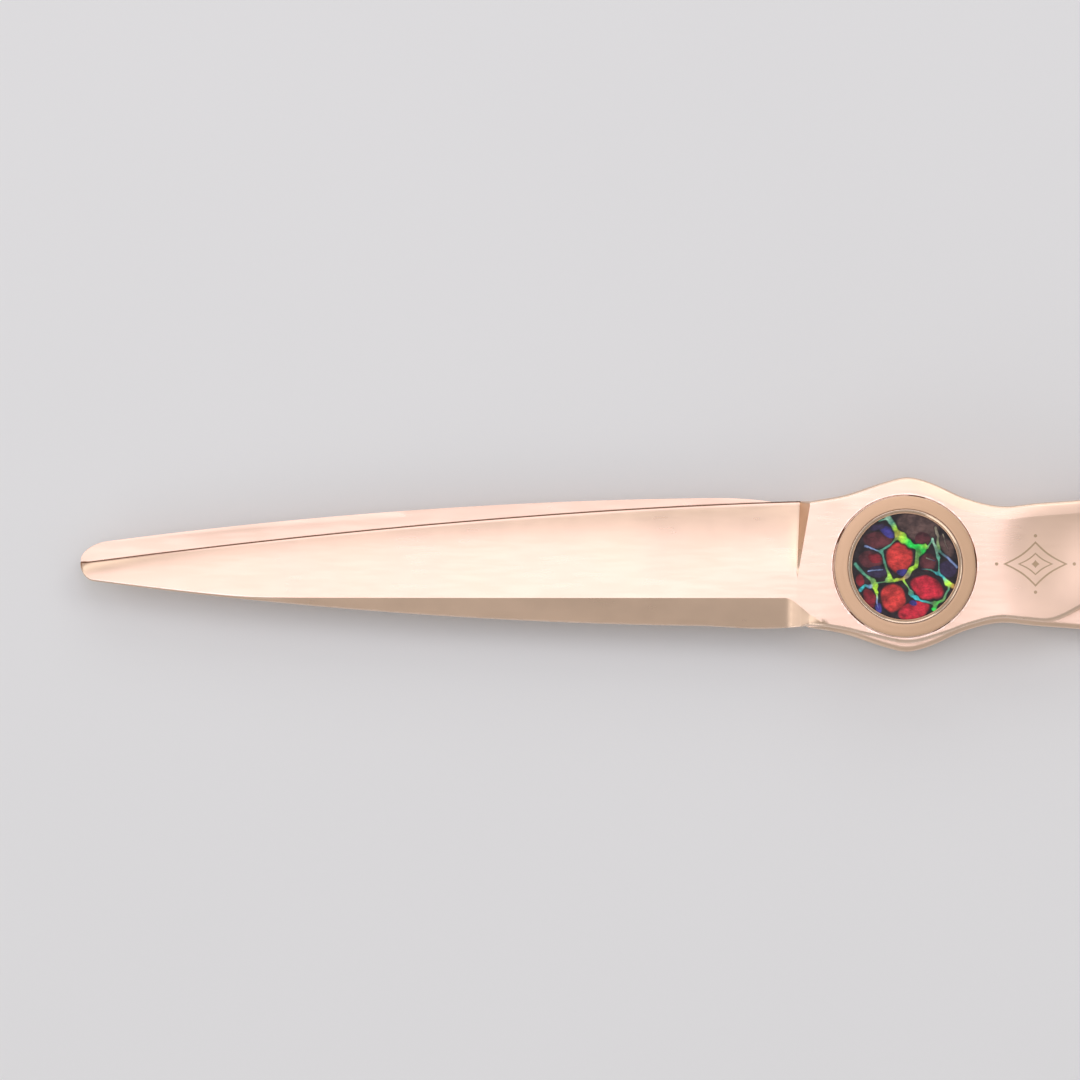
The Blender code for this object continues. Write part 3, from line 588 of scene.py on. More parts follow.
def turned(name, profile, count=ROUND_STEPS):
    """Turned from a closed profile of (radius, z), or from an open one that ends on the axis."""
    bm = bmesh.new()
    solid = profile[0][0] == 0
    around = profile[1:-1] if solid else profile
    columns = []
    for k in range(count):
        angle = tau * k / count
        columns.append([vertex(bm, r * cos(angle), r * sin(angle), z) for r, z in around])
    if solid:
        first, last = (bm.verts.new((0.0, 0.0, z * MM)) for _, z in (profile[0], profile[-1]))
    for left, right in zip(columns, columns[1:] + columns[:1]):
        bridge(bm, (left, right))
        if solid:
            bm.faces.new((first, right[0], left[0]))
            bm.faces.new((last, left[-1], right[-1]))
        else:
            bm.faces.new((left[-1], right[-1], right[0], left[0]))
    bmesh.ops.recalc_face_normals(bm, faces=bm.faces)
    return made(name, bm)


def rounded(corners, count=4):
    """A profile with its corners rounded; each corner is (radius, z, rounding)."""
    found = []
    number = len(corners)
    for i, (r, z, size) in enumerate(corners):
        here = Vector((r, z))
        if size == 0:
            found.append((r, z))
            continue
        before = (Vector(corners[i - 1][:2]) - here).normalized() * size
        after = (Vector(corners[(i + 1) % number][:2]) - here).normalized() * size
        for k in range(count + 1):
            t = k / count
            point = here + before * (1 - t) ** 2 + after * t ** 2
            found.append((point.x, point.y))
    return divided(found)


def divided(profile):
    """The profile with its long sides cut up, so that the painted edge highlight and corner shade
    stay near the corners.
    """
    found = []
    for (r0, z0), (r1, z1) in zip(profile, profile[1:] + profile[:1]):
        long = 0 if r0 == r1 == 0 else hypot(r1 - r0, z1 - z0)
        count = max(ceil(long / PROFILE_STEP), 1)
        found += [(mix(r0, r1, k / count), mix(z0, z1, k / count)) for k in range(count)]
    return found


def ring_corners(inner, outer, low, high, edge):
    return [(inner, high, edge), (outer, high, edge), (outer, low, edge), (inner, low, edge)]


def cylinder(name, radius, low, high, count=ROUND_STEPS):
    """A cutter. Its top edge is there twice, which settles how the Booleans order their faces."""
    return turned(name, [(0.0, high), *[(radius, high)] * 2, (radius, low), (0.0, low)], count)


def box(name, low, high):
    bm = bmesh.new()
    size = Vector(high) - Vector(low)
    centre = (Vector(high) + Vector(low)) / 2
    matrix = Matrix.Translation(centre * MM) @ Matrix.Diagonal((*(size * MM), 1.0))
    bmesh.ops.create_cube(bm, size=1.0, matrix=matrix)
    return made(name, bm)


def cut(obj, cutters, operation="DIFFERENCE"):
    """Applies exact Booleans with the cutters and removes them."""
    for cutter in cutters:
        modifier = obj.modifiers.new(cutter.name, "BOOLEAN")
        modifier.operation = operation
        modifier.solver = "EXACT"
        modifier.object = cutter
    depsgraph = bpy.context.evaluated_depsgraph_get()
    mesh = bpy.data.meshes.new_from_object(obj.evaluated_get(depsgraph))
    obj.modifiers.clear()
    obj.data = mesh
    for cutter in cutters:
        bpy.data.objects.remove(cutter)


def towards(point, angle):
    """A matrix that takes +Z to a direction in the plan, at the handles' middle height."""
    turn = Matrix.Rotation(angle, 4, "Z") @ Matrix.Rotation(pi / 2, 4, "Y")
    return shift(*point, INNER_Z) @ turn


def bumper_place():
    """The matrix from the thumb ring's centre towards the finger ring, and the rings' gap."""
    apart = Vector((FINGER["ring_x"] - THUMB["ring_x"], 2 * RING_CENTRE_Y))
    place = towards((THUMB["ring_x"], -RING_CENTRE_Y), atan2(apart.y, apart.x))
    return place, apart.length - 2 * RING_OUTER_R


def ring_cutter(name, radius, depth, place):
    """A cutter that goes a depth into a ring from outside."""
    cutter = cylinder(name, radius, RING_OUTER_R - depth, RING_OUTER_R + 1.0, SMALL_STEPS)
    cutter.data.transform(place)
    return cutter


def stud_hole(name, radius, depth, place):
    return ring_cutter(name, radius + CLEARANCE, depth + STUD_HOLE_END, place)


# ---- materials


class Shader:
    """Short calls for one material's nodes, with textures in millimetres on the object."""

    def __init__(self, name):
        self.material = bpy.data.materials.new(name)
        self.material.use_nodes = True
        self.tree = self.material.node_tree
        self.surface = self.tree.nodes["Principled BSDF"]
        place = self.add("TexCoord", output="Object")
        self.mm = self.vector("SCALE", {0: place, "Scale": 1 / MM})

    def join(self, socket, value):
        """Links a socket to another node's output, or sets it."""
        if isinstance(value, bpy.types.NodeSocket):
            self.tree.links.new(value, socket)
        else:
            socket.default_value = value

    def add(self, kind, inputs=(), output=0, **settings):
        """Adds a node with its inputs, by number or name, and gives one of its outputs."""
        node = self.tree.nodes.new("ShaderNode" + kind)
        for key, value in settings.items():
            setattr(node, key, value)
        for key, value in dict(inputs).items():
            self.join(node.inputs[key], value)
        return node.outputs[output]

    def vector(self, operation, inputs):
        output = "Value" if operation == "LENGTH" else "Vector"
        return self.add("VectorMath", inputs, output, operation=operation)

    def math(self, operation, a, b=0.0):
        return self.add("Math", {0: a, 1: b}, operation=operation)

    def noise(self, per_mm, vector=None, detail=4.0, rough=0.55):
        """Noise of 0 to 1; per_mm is one number, or three for a stretched grain."""
        vector = vector or self.mm
        if isinstance(per_mm, tuple):
            vector = self.vector("MULTIPLY", {0: vector, 1: per_mm})
            per_mm = 1.0
        inputs = {"Vector": vector, "Scale": per_mm, "Detail": detail, "Roughness": rough}
        return self.add("TexNoise", inputs)

    def range(self, *numbers):
        """Maps a value smoothly from a low and a high (to 0 and 1, or to the last two numbers)."""
        numbers += (0.0, 1.0)[:5 - len(numbers)]
        return self.add("MapRange", enumerate(numbers), interpolation_type="SMOOTHSTEP")

    def colour(self, share, a, b, blend_type="MIX"):
        a, b = ((*value, 1.0) if isinstance(value, tuple) else value for value in (a, b))
        return self.add("Mix", {0: share, 6: a, 7: b}, 2, data_type="RGBA", blend_type=blend_type)

    def attribute(self, name, output="Fac"):
        return self.add("Attribute", output=output, attribute_name=name)

    def combined(self, *parts):
        return self.add("CombineXYZ", enumerate(parts))

    def round_coordinates(self):
        """Coordinates for marks round Z: radius, angle in radians, height."""
        x, y, z = self.add("SeparateXYZ", {0: self.mm}).node.outputs
        radius = self.vector("LENGTH", {0: self.combined(x, y)})
        return self.combined(radius, self.math("ARCTAN2", y, x), z)

    def bump(self, height, microns):
        inputs = {"Strength": 1.0, "Distance": microns * 1e-6, "Height": height}
        self.join(self.surface.inputs["Normal"], self.add("Bump", inputs))

    def finish(self, colour, roughness, metallic=0.0, **named):
        named.update({"Base Color": colour, "Roughness": roughness, "Metallic": metallic})
        for key, value in named.items():
            self.join(self.surface.inputs[key.replace("_", " ")], value)
        return self.material


def metal(name, colour, roughness, grain=(0.3, 2.6, 2.6), turned=False, microns=0.16, edge_highlight=0.25,
          corner_shade=(0.3, 0.17, 0.1)):
    """Satin metal with a fine grain, a cloudy finish, a painted highlight on its convex edges and
    painted shade in its concave corners.
    """
    look = Shader(name)
    where = look.round_coordinates() if turned else look.mm
    lines = look.noise(grain, where, detail=1.0)
    cloud = look.noise(0.16, detail=3.0)
    speck = look.noise(2.2, detail=1.0)
    bend = look.attribute("bend")
    edge = look.range(bend, 1.6, 5.0)
    corner = look.range(bend, -1.6, -5.0)
    deep = tuple(c * 0.93 for c in colour)
    light = tuple(c + (1 - c) * edge_highlight for c in colour)
    tone = look.colour(look.range(cloud, 0.35, 0.65), deep, colour)
    # Painted highlight: convex edges lightened towards white, in patches.
    painted_highlight = look.math("MULTIPLY", edge, look.range(speck, 0.2, 0.6, 0.3, 0.9))
    tone = look.colour(painted_highlight, tone, light)
    # Painted shade: concave corners are darkened.
    tone = look.colour(look.math("MULTIPLY", corner, 0.5), tone, corner_shade)
    # Painted shadow line along the cutting edges.
    tone = look.colour(look.attribute("painted_edge_shadow"), tone, EDGE_SHADOW_TONE)
    rough = look.math("ADD", look.range(lines, 0.3, 0.7, roughness - 0.02, roughness + 0.02),
                      look.range(cloud, 0.3, 0.7, -0.02, 0.03))
    rough = look.math("SUBTRACT", rough, look.math("MULTIPLY", edge, 0.06))
    height = look.math("ADD", lines, look.math("MULTIPLY", speck, 0.4))
    look.bump(height, microns)
    return look.finish(tone, rough, 1.0)


def rubber(name, colour=(0.022, 0.021, 0.02)):
    look = Shader(name)
    grain = look.noise(7.0)
    dust = look.noise(0.9, detail=5.0)
    tone = look.colour(look.range(dust, 0.45, 0.75), colour, tuple(c + 0.03 for c in colour))
    look.bump(grain, 9.0)
    return look.finish(tone, look.range(dust, 0.3, 0.7, 0.62, 0.85), Specular_IOR_Level=0.35)


def plastic(name, colour, roughness=0.42):
    look = Shader(name)
    cloud = look.noise(0.8)
    tone = look.colour(cloud, tuple(c * 0.9 for c in colour), colour)
    look.bump(look.noise(5.0), 2.0)
    return look.finish(tone, look.range(cloud, 0.3, 0.7, roughness - 0.05, roughness + 0.08))


def stone(name):
    """Polished mosaic stone: its pattern broken up by fibres and flecks, under a clear coat."""
    look = Shader(name)
    pattern = look.attribute("pattern", "Color")
    fibre = look.noise((2.2, 4.5, 1.0), detail=3.0, rough=0.7)
    fleck = look.noise(4.5, detail=2.0)
    tone = look.colour(look.range(fibre, 0.38, 0.68, 0.0, 0.38), pattern, (0.012, 0.006, 0.006))
    glow = look.colour(0.55, tone, (1.0, 0.82, 0.7), "MULTIPLY")
    tone = look.colour(look.range(fleck, 0.5, 0.7, 0.0, 0.6), tone, glow)
    look.bump(fleck, 2.0)
    return look.finish(tone, 0.3, Coat_Weight=0.15, Coat_Roughness=0.04, Coat_IOR=1.5,
                       Specular_IOR_Level=0.15)


def floor_paint(name):
    look = Shader(name)
    cloud = look.noise(0.02, detail=2.0)
    tone = look.colour(cloud, (0.8, 0.8, 0.795), (0.83, 0.83, 0.825))
    return look.finish(tone, look.range(cloud, 0.3, 0.7, 0.7, 0.78), Specular_IOR_Level=0.2)


ROSE_GOLD = (0.89, 0.645, 0.485)
DIAL_GOLD = (0.60, 0.395, 0.24)
BEZEL_GOLD = (0.80, 0.60, 0.44)

half_gold = metal("satin_rose_gold", ROSE_GOLD, 0.30)
rest_gold = metal("finger_rest_rose_gold", ROSE_GOLD, 0.26, edge_highlight=0.3)
dial_gold = metal("brushed_dial_gold", DIAL_GOLD, 0.36, (3.2, 1.0, 3.2), True, microns=0.6)
bezel_gold = metal("polished_bezel_gold", BEZEL_GOLD, 0.16, (3.0, 0.5, 3.0), True, microns=0.3)
bolt_gold = metal("bolt_rose_gold", ROSE_GOLD, 0.28, (3.0, 0.5, 3.0), True)
bearing_steel = metal("bearing_steel", (0.7, 0.71, 0.72), 0.15, (3.0, 0.4, 3.0), True,
                      microns=0.3, edge_highlight=0.2, corner_shade=(0.12, 0.1, 0.08))
spring_steel = metal("spring_steel", (0.48, 0.49, 0.51), 0.28, (3.0, 0.4, 3.0), True,
                     microns=0.5, edge_highlight=0.2, corner_shade=(0.1, 0.08, 0.06))
cage_brass = metal("cage_brass", (0.78, 0.57, 0.26), 0.3, (3.0, 0.5, 3.0), True)
bushing_bronze = metal("bushing_bronze", (0.60, 0.38, 0.20), 0.36, (3.0, 0.5, 3.0), True)
washer_plastic = plastic("washer_plastic", (0.82, 0.81, 0.76))
bumper_rubber = rubber("bumper_rubber")
backing_dark = plastic("inlay_backing_lacquer", (0.02, 0.014, 0.01), 0.5)
mosaic_stone = stone("mosaic_stone")
laser_mark = metal("engraved_line", (0.50, 0.36, 0.23), 0.45, microns=2.0, edge_highlight=0.1)


# ---- the halves


def make_finger_half():
    half = half_object("finger_half_forging", FINGER)
    half.data.transform(Matrix.Translation((0.0, 0.0, FINGER_Z * MM)))
    boss_top = FINGER_Z + BOSS_THICKNESS
    seat_floor = span("tension_dial")[0] - 0.12
    keyed = cylinder("keyed", BOLT_R + CLEARANCE, INNER_Z, 6.0, SMALL_STEPS)
    keyed.data.transform(Matrix.Rotation(radians(OFF_THE_SEAM), 4, "Z"))
    flats = BOLT_FLAT + CLEARANCE
    cut(keyed, [box("slab", (-flats, -4, INNER_Z - 1), (flats, 4, 7))], "INTERSECT")
    flare, drop = DIAL_SEAT_CHAMFER
    seat = [(0.0, boss_top + 0.4), (DIAL_SEAT_R + flare, boss_top + 0.4),
            (DIAL_SEAT_R, boss_top - drop), (DIAL_SEAT_R, seat_floor), (0.0, seat_floor)]
    race_top = span("race_front")[1]
    cut(half, [cylinder("bearing_seat", BEARING_SEAT_R, INNER_Z - 0.5, race_top + RACE_ROOM),
               turned("dial_seat", seat), keyed,
               stud_hole("rest_hole", *REST_STUD, towards(FINGER_RING, radians(REST_ANGLE)))])
    finished(half, half_gold, "finger_half", "finger_half_metal", "finger_half")


def make_thumb_half():
    half = half_object("thumb_half_forging", THUMB)
    half.data.transform(Matrix.Rotation(pi, 4, "X"))
    half.data.transform(Matrix.Translation((0.0, 0.0, (INNER_Z - INNER_GAP / 2) * MM)))
    place, _ = bumper_place()
    race_bottom = span("race_rear")[0]
    cut(half, [cylinder("bearing_seat", BEARING_SEAT_R, race_bottom - RACE_ROOM, INNER_Z + 0.5),
               cylinder("head_seat", HEAD_SEAT[0], -1.0, HEAD_SEAT[1]),
               cylinder("bushing_bore", BUSHING_BORE, 0.0, INNER_Z, SMALL_STEPS),
               ring_cutter("bumper_seat", *BUMPER_SEAT, place),
               stud_hole("bumper_hole", *BUMPER_STUD, place)])
    finished(half, half_gold, "thumb_half", "thumb_half_metal", "thumb_half")


# ---- the pivot

# Its plain turned rings: node, bore radius, edge rounding, material, body and slot.
PLAIN_RINGS = (
    ("race_front", 2.75, 0.06, bearing_steel, "finger_half", "bearing_steel"),
    ("race_rear", 2.75, 0.06, bearing_steel, "thumb_half", "bearing_steel"),
    ("rear_glide_washer", 2.15, 0.03, washer_plastic, "thumb_half", "washer_plastic"),
    ("pivot_bushing", 2.06, 0.08, bushing_bronze, "thumb_half", "bushing_bronze"))


def make_bearing():
    for node, inner, edge, material, body, slot in PLAIN_RINGS:
        corners = ring_corners(inner, span(node, 0)[1], *span(node), edge)
        ring = turned(node + "_turned", rounded(corners, 3))
        finished(ring, material, body, slot, node)
    low, high = span("bearing_ball_1")
    for k in range(BALLS):
        angle = tau * k / BALLS
        bm = bmesh.new()
        radius = (high - low) / 2 * MM
        bmesh.ops.create_uvsphere(bm, u_segments=28, v_segments=18, radius=radius)
        ball = made(f"bearing_ball_{k + 1}_ground", bm)
        ball.location = Vector((cos(angle), sin(angle), 0.0)) * BALL_CIRCLE * MM
        ball.location.z = INNER_Z * MM
        ball.data.materials.append(bearing_steel)
        ball.data.shade_smooth()
        belongs(ball, "bearing", "bearing_steel", f"bearing_ball_{k + 1}")


def make_bolt():
    """The pivot bolt: a low head with two spanner holes, a round shank and two flats."""
    radius = span("pivot_bolt", 0)[1]
    top = span("pivot_bolt")[1]
    profile = [(0.0, top), (BOLT_R - 0.2, top), (BOLT_R, top - 0.2), (BOLT_R, BOLT_HEAD_TOP)]
    profile += rounded([(BOLT_R, BOLT_HEAD_TOP, 0.0), (radius, BOLT_HEAD_TOP, 0.1),
                        (radius, 0.0, 0.3), (0.0, 0.0, 0.0)])[1:]
    bolt = turned("pivot_bolt_turned", profile)
    cutters = []
    hole_r, hole_place = SPANNER_HOLE
    for side in (-1, 1):
        low_x, high_x = sorted((side * BOLT_FLAT, side * 3.0))
        cutters.append(box("flat", (low_x, -3.0, BOLT_FLATS_FROM), (high_x, 3.0, 7.0)))
        hole = cylinder("spanner_hole", hole_r, -1.0, 0.45, SMALL_STEPS)
        hole.data.transform(shift(0.0, side * hole_place, 0.0))
        cutters.append(hole)
    cut(bolt, cutters)
    finished(bolt, bolt_gold, "finger_half", "bolt_metal", "pivot_bolt")


def make_dial():
    """The satin dial with its hidden spring space, and the bright lip."""
    radius = span("tension_dial", 0)[1]
    low, high = span("tension_dial")
    seat_r, seat_z = STONE_SEAT
    outer, spring, inner = DIAL_SPACE_R
    under, deep = DIAL_SPACE_Z
    bore = BOLT_R + CLEARANCE
    corners = [(bore, seat_z, 0.0), (seat_r, seat_z, 0.0), (seat_r, high, 0.03),
               (radius, high - 0.04, 0.05), (radius, low, 0.06), (outer, low, 0.0),
               (outer, under, 0.0), (spring, under, 0.0), (spring, deep, 0.0), (inner, deep, 0.0),
               (inner, under, 0.0), (bore, under, 0.0)]
    dial = turned("tension_dial_ring", rounded(corners, 5))
    finished(dial, dial_gold, "tension_dial", "dial_metal", "tension_dial")
    outer = span("bezel_ring", 0)[1]
    low, high = span("bezel_ring")
    corners = [(BEZEL_BORE, high - 0.14, 0.04), (outer - 0.04, high, 0.04),
               (outer, high - 0.06, 0.03), (outer, low, 0.0), (BEZEL_BORE, low, 0.0)]
    bezel = turned("bezel_lip", rounded(corners, 5))
    finished(bezel, bezel_gold, "tension_dial", "bezel_metal", "bezel_ring")


# The stone's pattern on a disc of radius 1, with places and radii in hundredths. A cell's line is
# its place, two radii, tilt in degrees and colour. A vein's line is its width as a share of 1, its
# colours from start to end, and the places that it runs through.
INKS = dict(
    crimson=(0.74, 0.028, 0.055), scarlet=(0.76, 0.055, 0.045), ruby=(0.3, 0.02, 0.03),
    maroon=(0.13, 0.03, 0.035), violet=(0.045, 0.03, 0.08), indigo=(0.06, 0.05, 0.3),
    brown=(0.12, 0.07, 0.06), green=(0.02, 0.85, 0.1), lime=(0.5, 0.92, 0.06),
    moss=(0.2, 0.42, 0.12), teal=(0.11, 0.4, 0.27), mint=(0.34, 0.62, 0.44),
    cyan=(0.06, 0.58, 0.62), sky=(0.25, 0.34, 0.62), amber=(0.75, 0.48, 0.1),
    tan=(0.32, 0.28, 0.2), dark=(0.02, 0.013, 0.014))
CELLS = []
for line in """\
-11 16 25 28 0 scarlet
42 -40 31 21 -20 crimson
-23 -59 23 27 8 scarlet
17 -83 29 17 20 crimson
-67 -60 11 19 18 ruby
-86 -27 8 12 10 ruby
-66 13 24 15 -8 maroon
-57 15 12 8 -10 ruby
-52 50 28 15 -4 maroon
-32 66 17 9 -30 indigo
-52 74 14 6 15 violet
24 76 40 26 -14 brown
33 52 14 13 0 maroon
42 8 15 17 0 maroon
79 -4 17 15 -20 violet
77 38 11 24 32 brown
-53 -10 19 11 0 violet
-6 -10 11 6 0 indigo
14 -69 8 5 0 indigo
-50 -80 6 10 0 indigo
""".splitlines():
    *numbers, tilt, name = line.split()
    CELLS.append(([float(number) / 100 for number in numbers], float(tilt), name))
CELL_SPREAD = 1.07
VEINS = []
for line in """\
0.05 mint,teal,lime,amber,lime -33 92 -25 82 -19 71 -13 58 -6 54
0.062 lime,green,green,green -8 54 7 46 18 36 33 32
0.03 green,lime 22 36 37 37
0.04 moss,moss,lime,lime,tan 23 27 22 14 20 0 10 -8 4 -17
0.018 moss,teal,teal -13 56 -26 43 -40 32
0.018 sky,sky,teal -75 38.5 -58 32 -46 27
0.026 teal,teal,moss,lime -44 29 -40 6 -34 -10 -29 -22
0.034 moss,lime,amber,tan -34 -24 -20 -26 -5 -22 5 -17
0.03 teal,teal,moss -95 5 -77 -14 -63 -27
0.01 teal,moss -56 -32 -34 -27
0.04 moss,lime -60 -28 -56 -38
0.028 lime,lime -57 -34 -54.5 -50
0.015 lime,sky,indigo -54.5 -50 -53 -66 -50 -80
0.026 cyan,cyan,sky -84 -45 -76 -36 -66 -37
0.02 lime,moss,teal -4 -24 5 -38 10 -48
0.04 teal,cyan,cyan 10 -50 12.5 -55 20 -58
0.022 cyan,cyan,teal,moss 18 -57 30 -63 45 -69 55 -71
0.045 moss,green 56 -72 54 -80
0.024 green,moss,teal,lime 56 -71 71 -62 82 -45 83 -34
0.045 lime,amber 81 -33 88 -37
0.03 lime,cyan,cyan 82 -33 72 -20 62 -13
0.016 cyan,teal,violet 60 -12 48 -7 30 -3
0.014 teal,teal,teal 63 -12 63 8 61 20
0.024 teal,mint,mint 61 18 57 32 52 52
0.018 moss,teal 42 36 51 48
0.02 teal,sky,sky 64 28 80 16 96 0
0.026 tan,tan,moss 57 72 62 58 62 34
0.01 tan,brown 70 60 80 30
0.014 sky,sky -70 -8.5 -43 -7.5
0.012 tan,violet 40 17 54 11
0.014 teal,mint -50 86 -34 90
""".splitlines():
    width, names, *numbers = line.split()
    places = [float(number) / 100 for number in numbers]
    VEINS.append((float(width), names.split(","), list(zip(places[::2], places[1::2]))))


def ink(names, share):
    """The colour a share of the way along a list of named colours."""
    place = share * (len(names) - 1)
    i = min(int(place), len(names) - 2)
    return Vector(INKS[names[i]]).lerp(Vector(INKS[names[i + 1]]), place - i)


def vein_at(point, points):
    """Distance to a vein, and how far along it the nearest place is, 0 to 1."""
    best = (9.0, 0.0)
    for i, (a, b) in enumerate(zip(points, points[1:])):
        start = Vector(a)
        run = Vector(b) - start
        t = clamp((point - start).dot(run) / run.length_squared)
        away = (point - start - run * t).length
        if away < best[0]:
            best = (away, (i + t) / (len(points) - 1))
    return best


def stone_colour(x, y):
    """The pattern's colour on a disc of radius 1, with wobbling borders and mottled cells."""
    wobble = Vector([noise.noise(Vector((x * 5, y * 5, z))) for z in (3.1, 8.7)])
    point = Vector((x, y)) + wobble * 0.03
    mottle = noise.fractal(Vector((x * 8, y * 8, 1.7)), 0.9, 2.0, 4)
    colour = Vector(INKS["dark"]) * (1 + mottle)
    for (cx, cy, rx, ry), tilt, name in CELLS:
        local = Matrix.Rotation(-radians(tilt), 2) @ (point - Vector((cx, cy)))
        away = hypot(local.x / rx, local.y / ry) / CELL_SPREAD
        inside = 1 - blend(0.84, 1.02, away)
        shade = 1.05 - 0.45 * away * away + 0.5 * mottle
        shade += 0.16 * sin(7 * local.x - 16 * local.y)
        colour = colour.lerp(Vector(INKS[name]) * clamp(shade, 0.25, 1.4), inside)
    total = 0.0
    drawn = Vector((0.0, 0.0, 0.0))
    patchy = 0.5 * noise.noise(Vector((x * 9, y * 9, 5.0)))
    for width, names, points in VEINS:
        away, share = vein_at(point, points)
        swell = 0.95 + 0.35 * abs(2 * share - 1) ** 2 + patchy
        strength = exp(-(away / (width * swell)) ** 2)
        total += strength
        drawn += ink(names, share) * strength
    if total > 0.05:
        shade = clamp(1.05 + 0.7 * mottle, 0.5, 1.5)
        colour = colour * (1 - 0.75 * blend(0.06, 0.3, total))
        colour = colour.lerp(drawn / total * shade, blend(0.28, 0.74, total))
    return colour


def make_inlay():
    """A slightly domed disc whose top is fine enough to hold the stone's pattern."""
    radius = span("inlay_disc", 0)[1]
    low, high = span("inlay_disc")
    rings, count = INLAY_MESH
    profile = [(0.0, high)]
    for k in range(1, rings + 1):
        r = (radius - INLAY_EDGE) * k / rings
        profile.append((r, high - INLAY_DOME * (r / radius) ** 2))
    profile += [(radius, high - INLAY_DOME - INLAY_EDGE), (radius, low), (0.0, low)]
    disc = turned("inlay_stone", profile, count)
    pattern = disc.data.attributes.new("pattern", "FLOAT_COLOR", "POINT")
    for point, value in zip(disc.data.vertices, pattern.data):
        x, y = (c / MM / radius for c in point.co.xy)
        value.color = (*stone_colour(x, y), 1.0)
    finished(disc, mosaic_stone, "tension_dial", "inlay_stone", "inlay_disc")
    radius = span("inlay_backing", 0)[1]
    low, high = span("inlay_backing")
    profile = [(0.0, high), (radius - 0.02, high), (radius, high - 0.02), (radius, low), (0.0, low)]
    backing = turned("inlay_backing_cup", profile)
    finished(backing, backing_dark, "tension_dial", "inlay_backing", "inlay_backing")


# ---- ornament, bumper, finger rest

ORNAMENT_AT = (10.9, 0.2)
ORNAMENT_LINES = ((2.7, 1.9, 0.2), (1.5, 0.95, 0.15), (0.34, 0.34, 0.0))
ORNAMENT_DOTS = ((3.25, 0.0), (-3.25, 0.0), (0.0, 2.35), (0.0, -2.35))
DOT_R = 0.14
DOT_STEPS = 20
LINE_LIFTS = (0.006, -0.04)


def top_at(x, y):
    """Height of the finger half's top face above the floor."""
    inner, outer, _, _ = shank_edges(x, FINGER)
    return FINGER_Z + shank_top(x, clamp((inner - y) / (inner - outer)))


def on_top(bm, outline):
    """Two loops of points round the ornament's place, just above and below the top face."""
    loops = []
    for lift in LINE_LIFTS:
        places = [Vector(ORNAMENT_AT) + point for point in outline]
        loops.append([vertex(bm, x, y, top_at(x, y) + lift) for x, y in places])
    return loops


def strip(bm, outline, inner_share):
    """A thin closed band on the top face, between an outline and its smaller copy."""
    high, low = on_top(bm, outline)
    inner_high, inner_low = on_top(bm, [point * inner_share for point in outline])
    wrap(bm, [high, inner_high, inner_low, low, high])


def dot(bm, centre):
    """A thin closed disc on the top face."""
    angles = [tau * k / DOT_STEPS for k in range(DOT_STEPS)]
    outline = [Vector(centre) + Vector((cos(a), sin(a))) * DOT_R for a in angles]
    high, low = on_top(bm, outline)
    bm.faces.new(high)
    bm.faces.new(low[::-1])
    for corners in zip(high, low, low[1:] + low[:1], high[1:] + high[:1]):
        bm.faces.new(corners)


def lozenge(wide, high, per_side=14):
    """Points round a four-pointed figure with hollow sides."""
    corners = [Vector((wide, 0)), Vector((0, high)), Vector((-wide, 0)), Vector((0, -high))]
    found = []
    for a, b in zip(corners, corners[1:] + corners[:1]):
        for k in range(per_side):
            t = k / per_side
            point = a.lerp(b, t)
            found.append(point * (1 - 0.5 * t * (1 - t)))
    return found


def make_ornament():
    """A plain engraved lozenge on the shank, next to the dial."""
    bm = bmesh.new()
    for wide, high, line in ORNAMENT_LINES:
        strip(bm, lozenge(wide, high), 1 - line / high if line else 0.02)
    for centre in ORNAMENT_DOTS:
        dot(bm, centre)
    bmesh.ops.recalc_face_normals(bm, faces=bm.faces)
    ornament = made("engraved_lozenge", bm)
    ornament.data.materials.append(laser_mark)
    belongs(ornament, "finger_half", "finger_half_metal")


def make_bumper():
    """The domed rubber stop and its slotted screw."""
    place, gap = bumper_place()
    foot = RING_OUTER_R - BUMPER_SEAT[1] + 0.03
    top = RING_OUTER_R + gap - 0.06
    stud_r, stud_depth = BUMPER_STUD
    hole_r = stud_r + 0.08
    corners = [(hole_r, top - 1.2, 0.0), (hole_r + 0.42, top - 0.9, 0.05), (1.45, top - 0.35, 0.15),
               (1.9, top - 0.75, 0.25), (BUMPER_R, top - 1.6, 0.3), (BUMPER_R, foot, 0.12),
               (hole_r, foot, 0.0)]
    pad = turned("bumper_moulded", rounded(corners, 6), BUMPER_STEPS[0])
    head = top - 1.0
    profile = [(0.0, head), (stud_r - 0.15, head), (stud_r, head - 0.12),
               (stud_r, RING_OUTER_R - stud_depth), (0.0, RING_OUTER_R - stud_depth)]
    screw = turned("bumper_screw_slotted", profile, BUMPER_STEPS[1])
    cut(screw, [box("slot", (-0.13, -2.0, head - 0.3), (0.13, 2.0, head + 1))])
    for obj, material, slot, node in (
            (pad, bumper_rubber, "bumper_rubber", "bumper"),
            (screw, bearing_steel, "bearing_steel", "bumper_screw")):
        obj.data.transform(place)
        finished(obj, material, "thumb_half", slot, node)


def along_path(i, t, axis):
    """One coordinate of the finger rest's smooth path, t of the way past its point i."""
    path = REST_PATH
    p0, p1, p2, p3 = (path[clamp(j, 0, len(path) - 1)][axis] for j in (i - 1, i, i + 1, i + 2))
    return 0.5 * (2 * p1 + (p2 - p0) * t + (2 * p0 - 5 * p1 + 4 * p2 - p3) * t ** 2
                  + (3 * p1 - p0 - 3 * p2 + p3) * t ** 3)


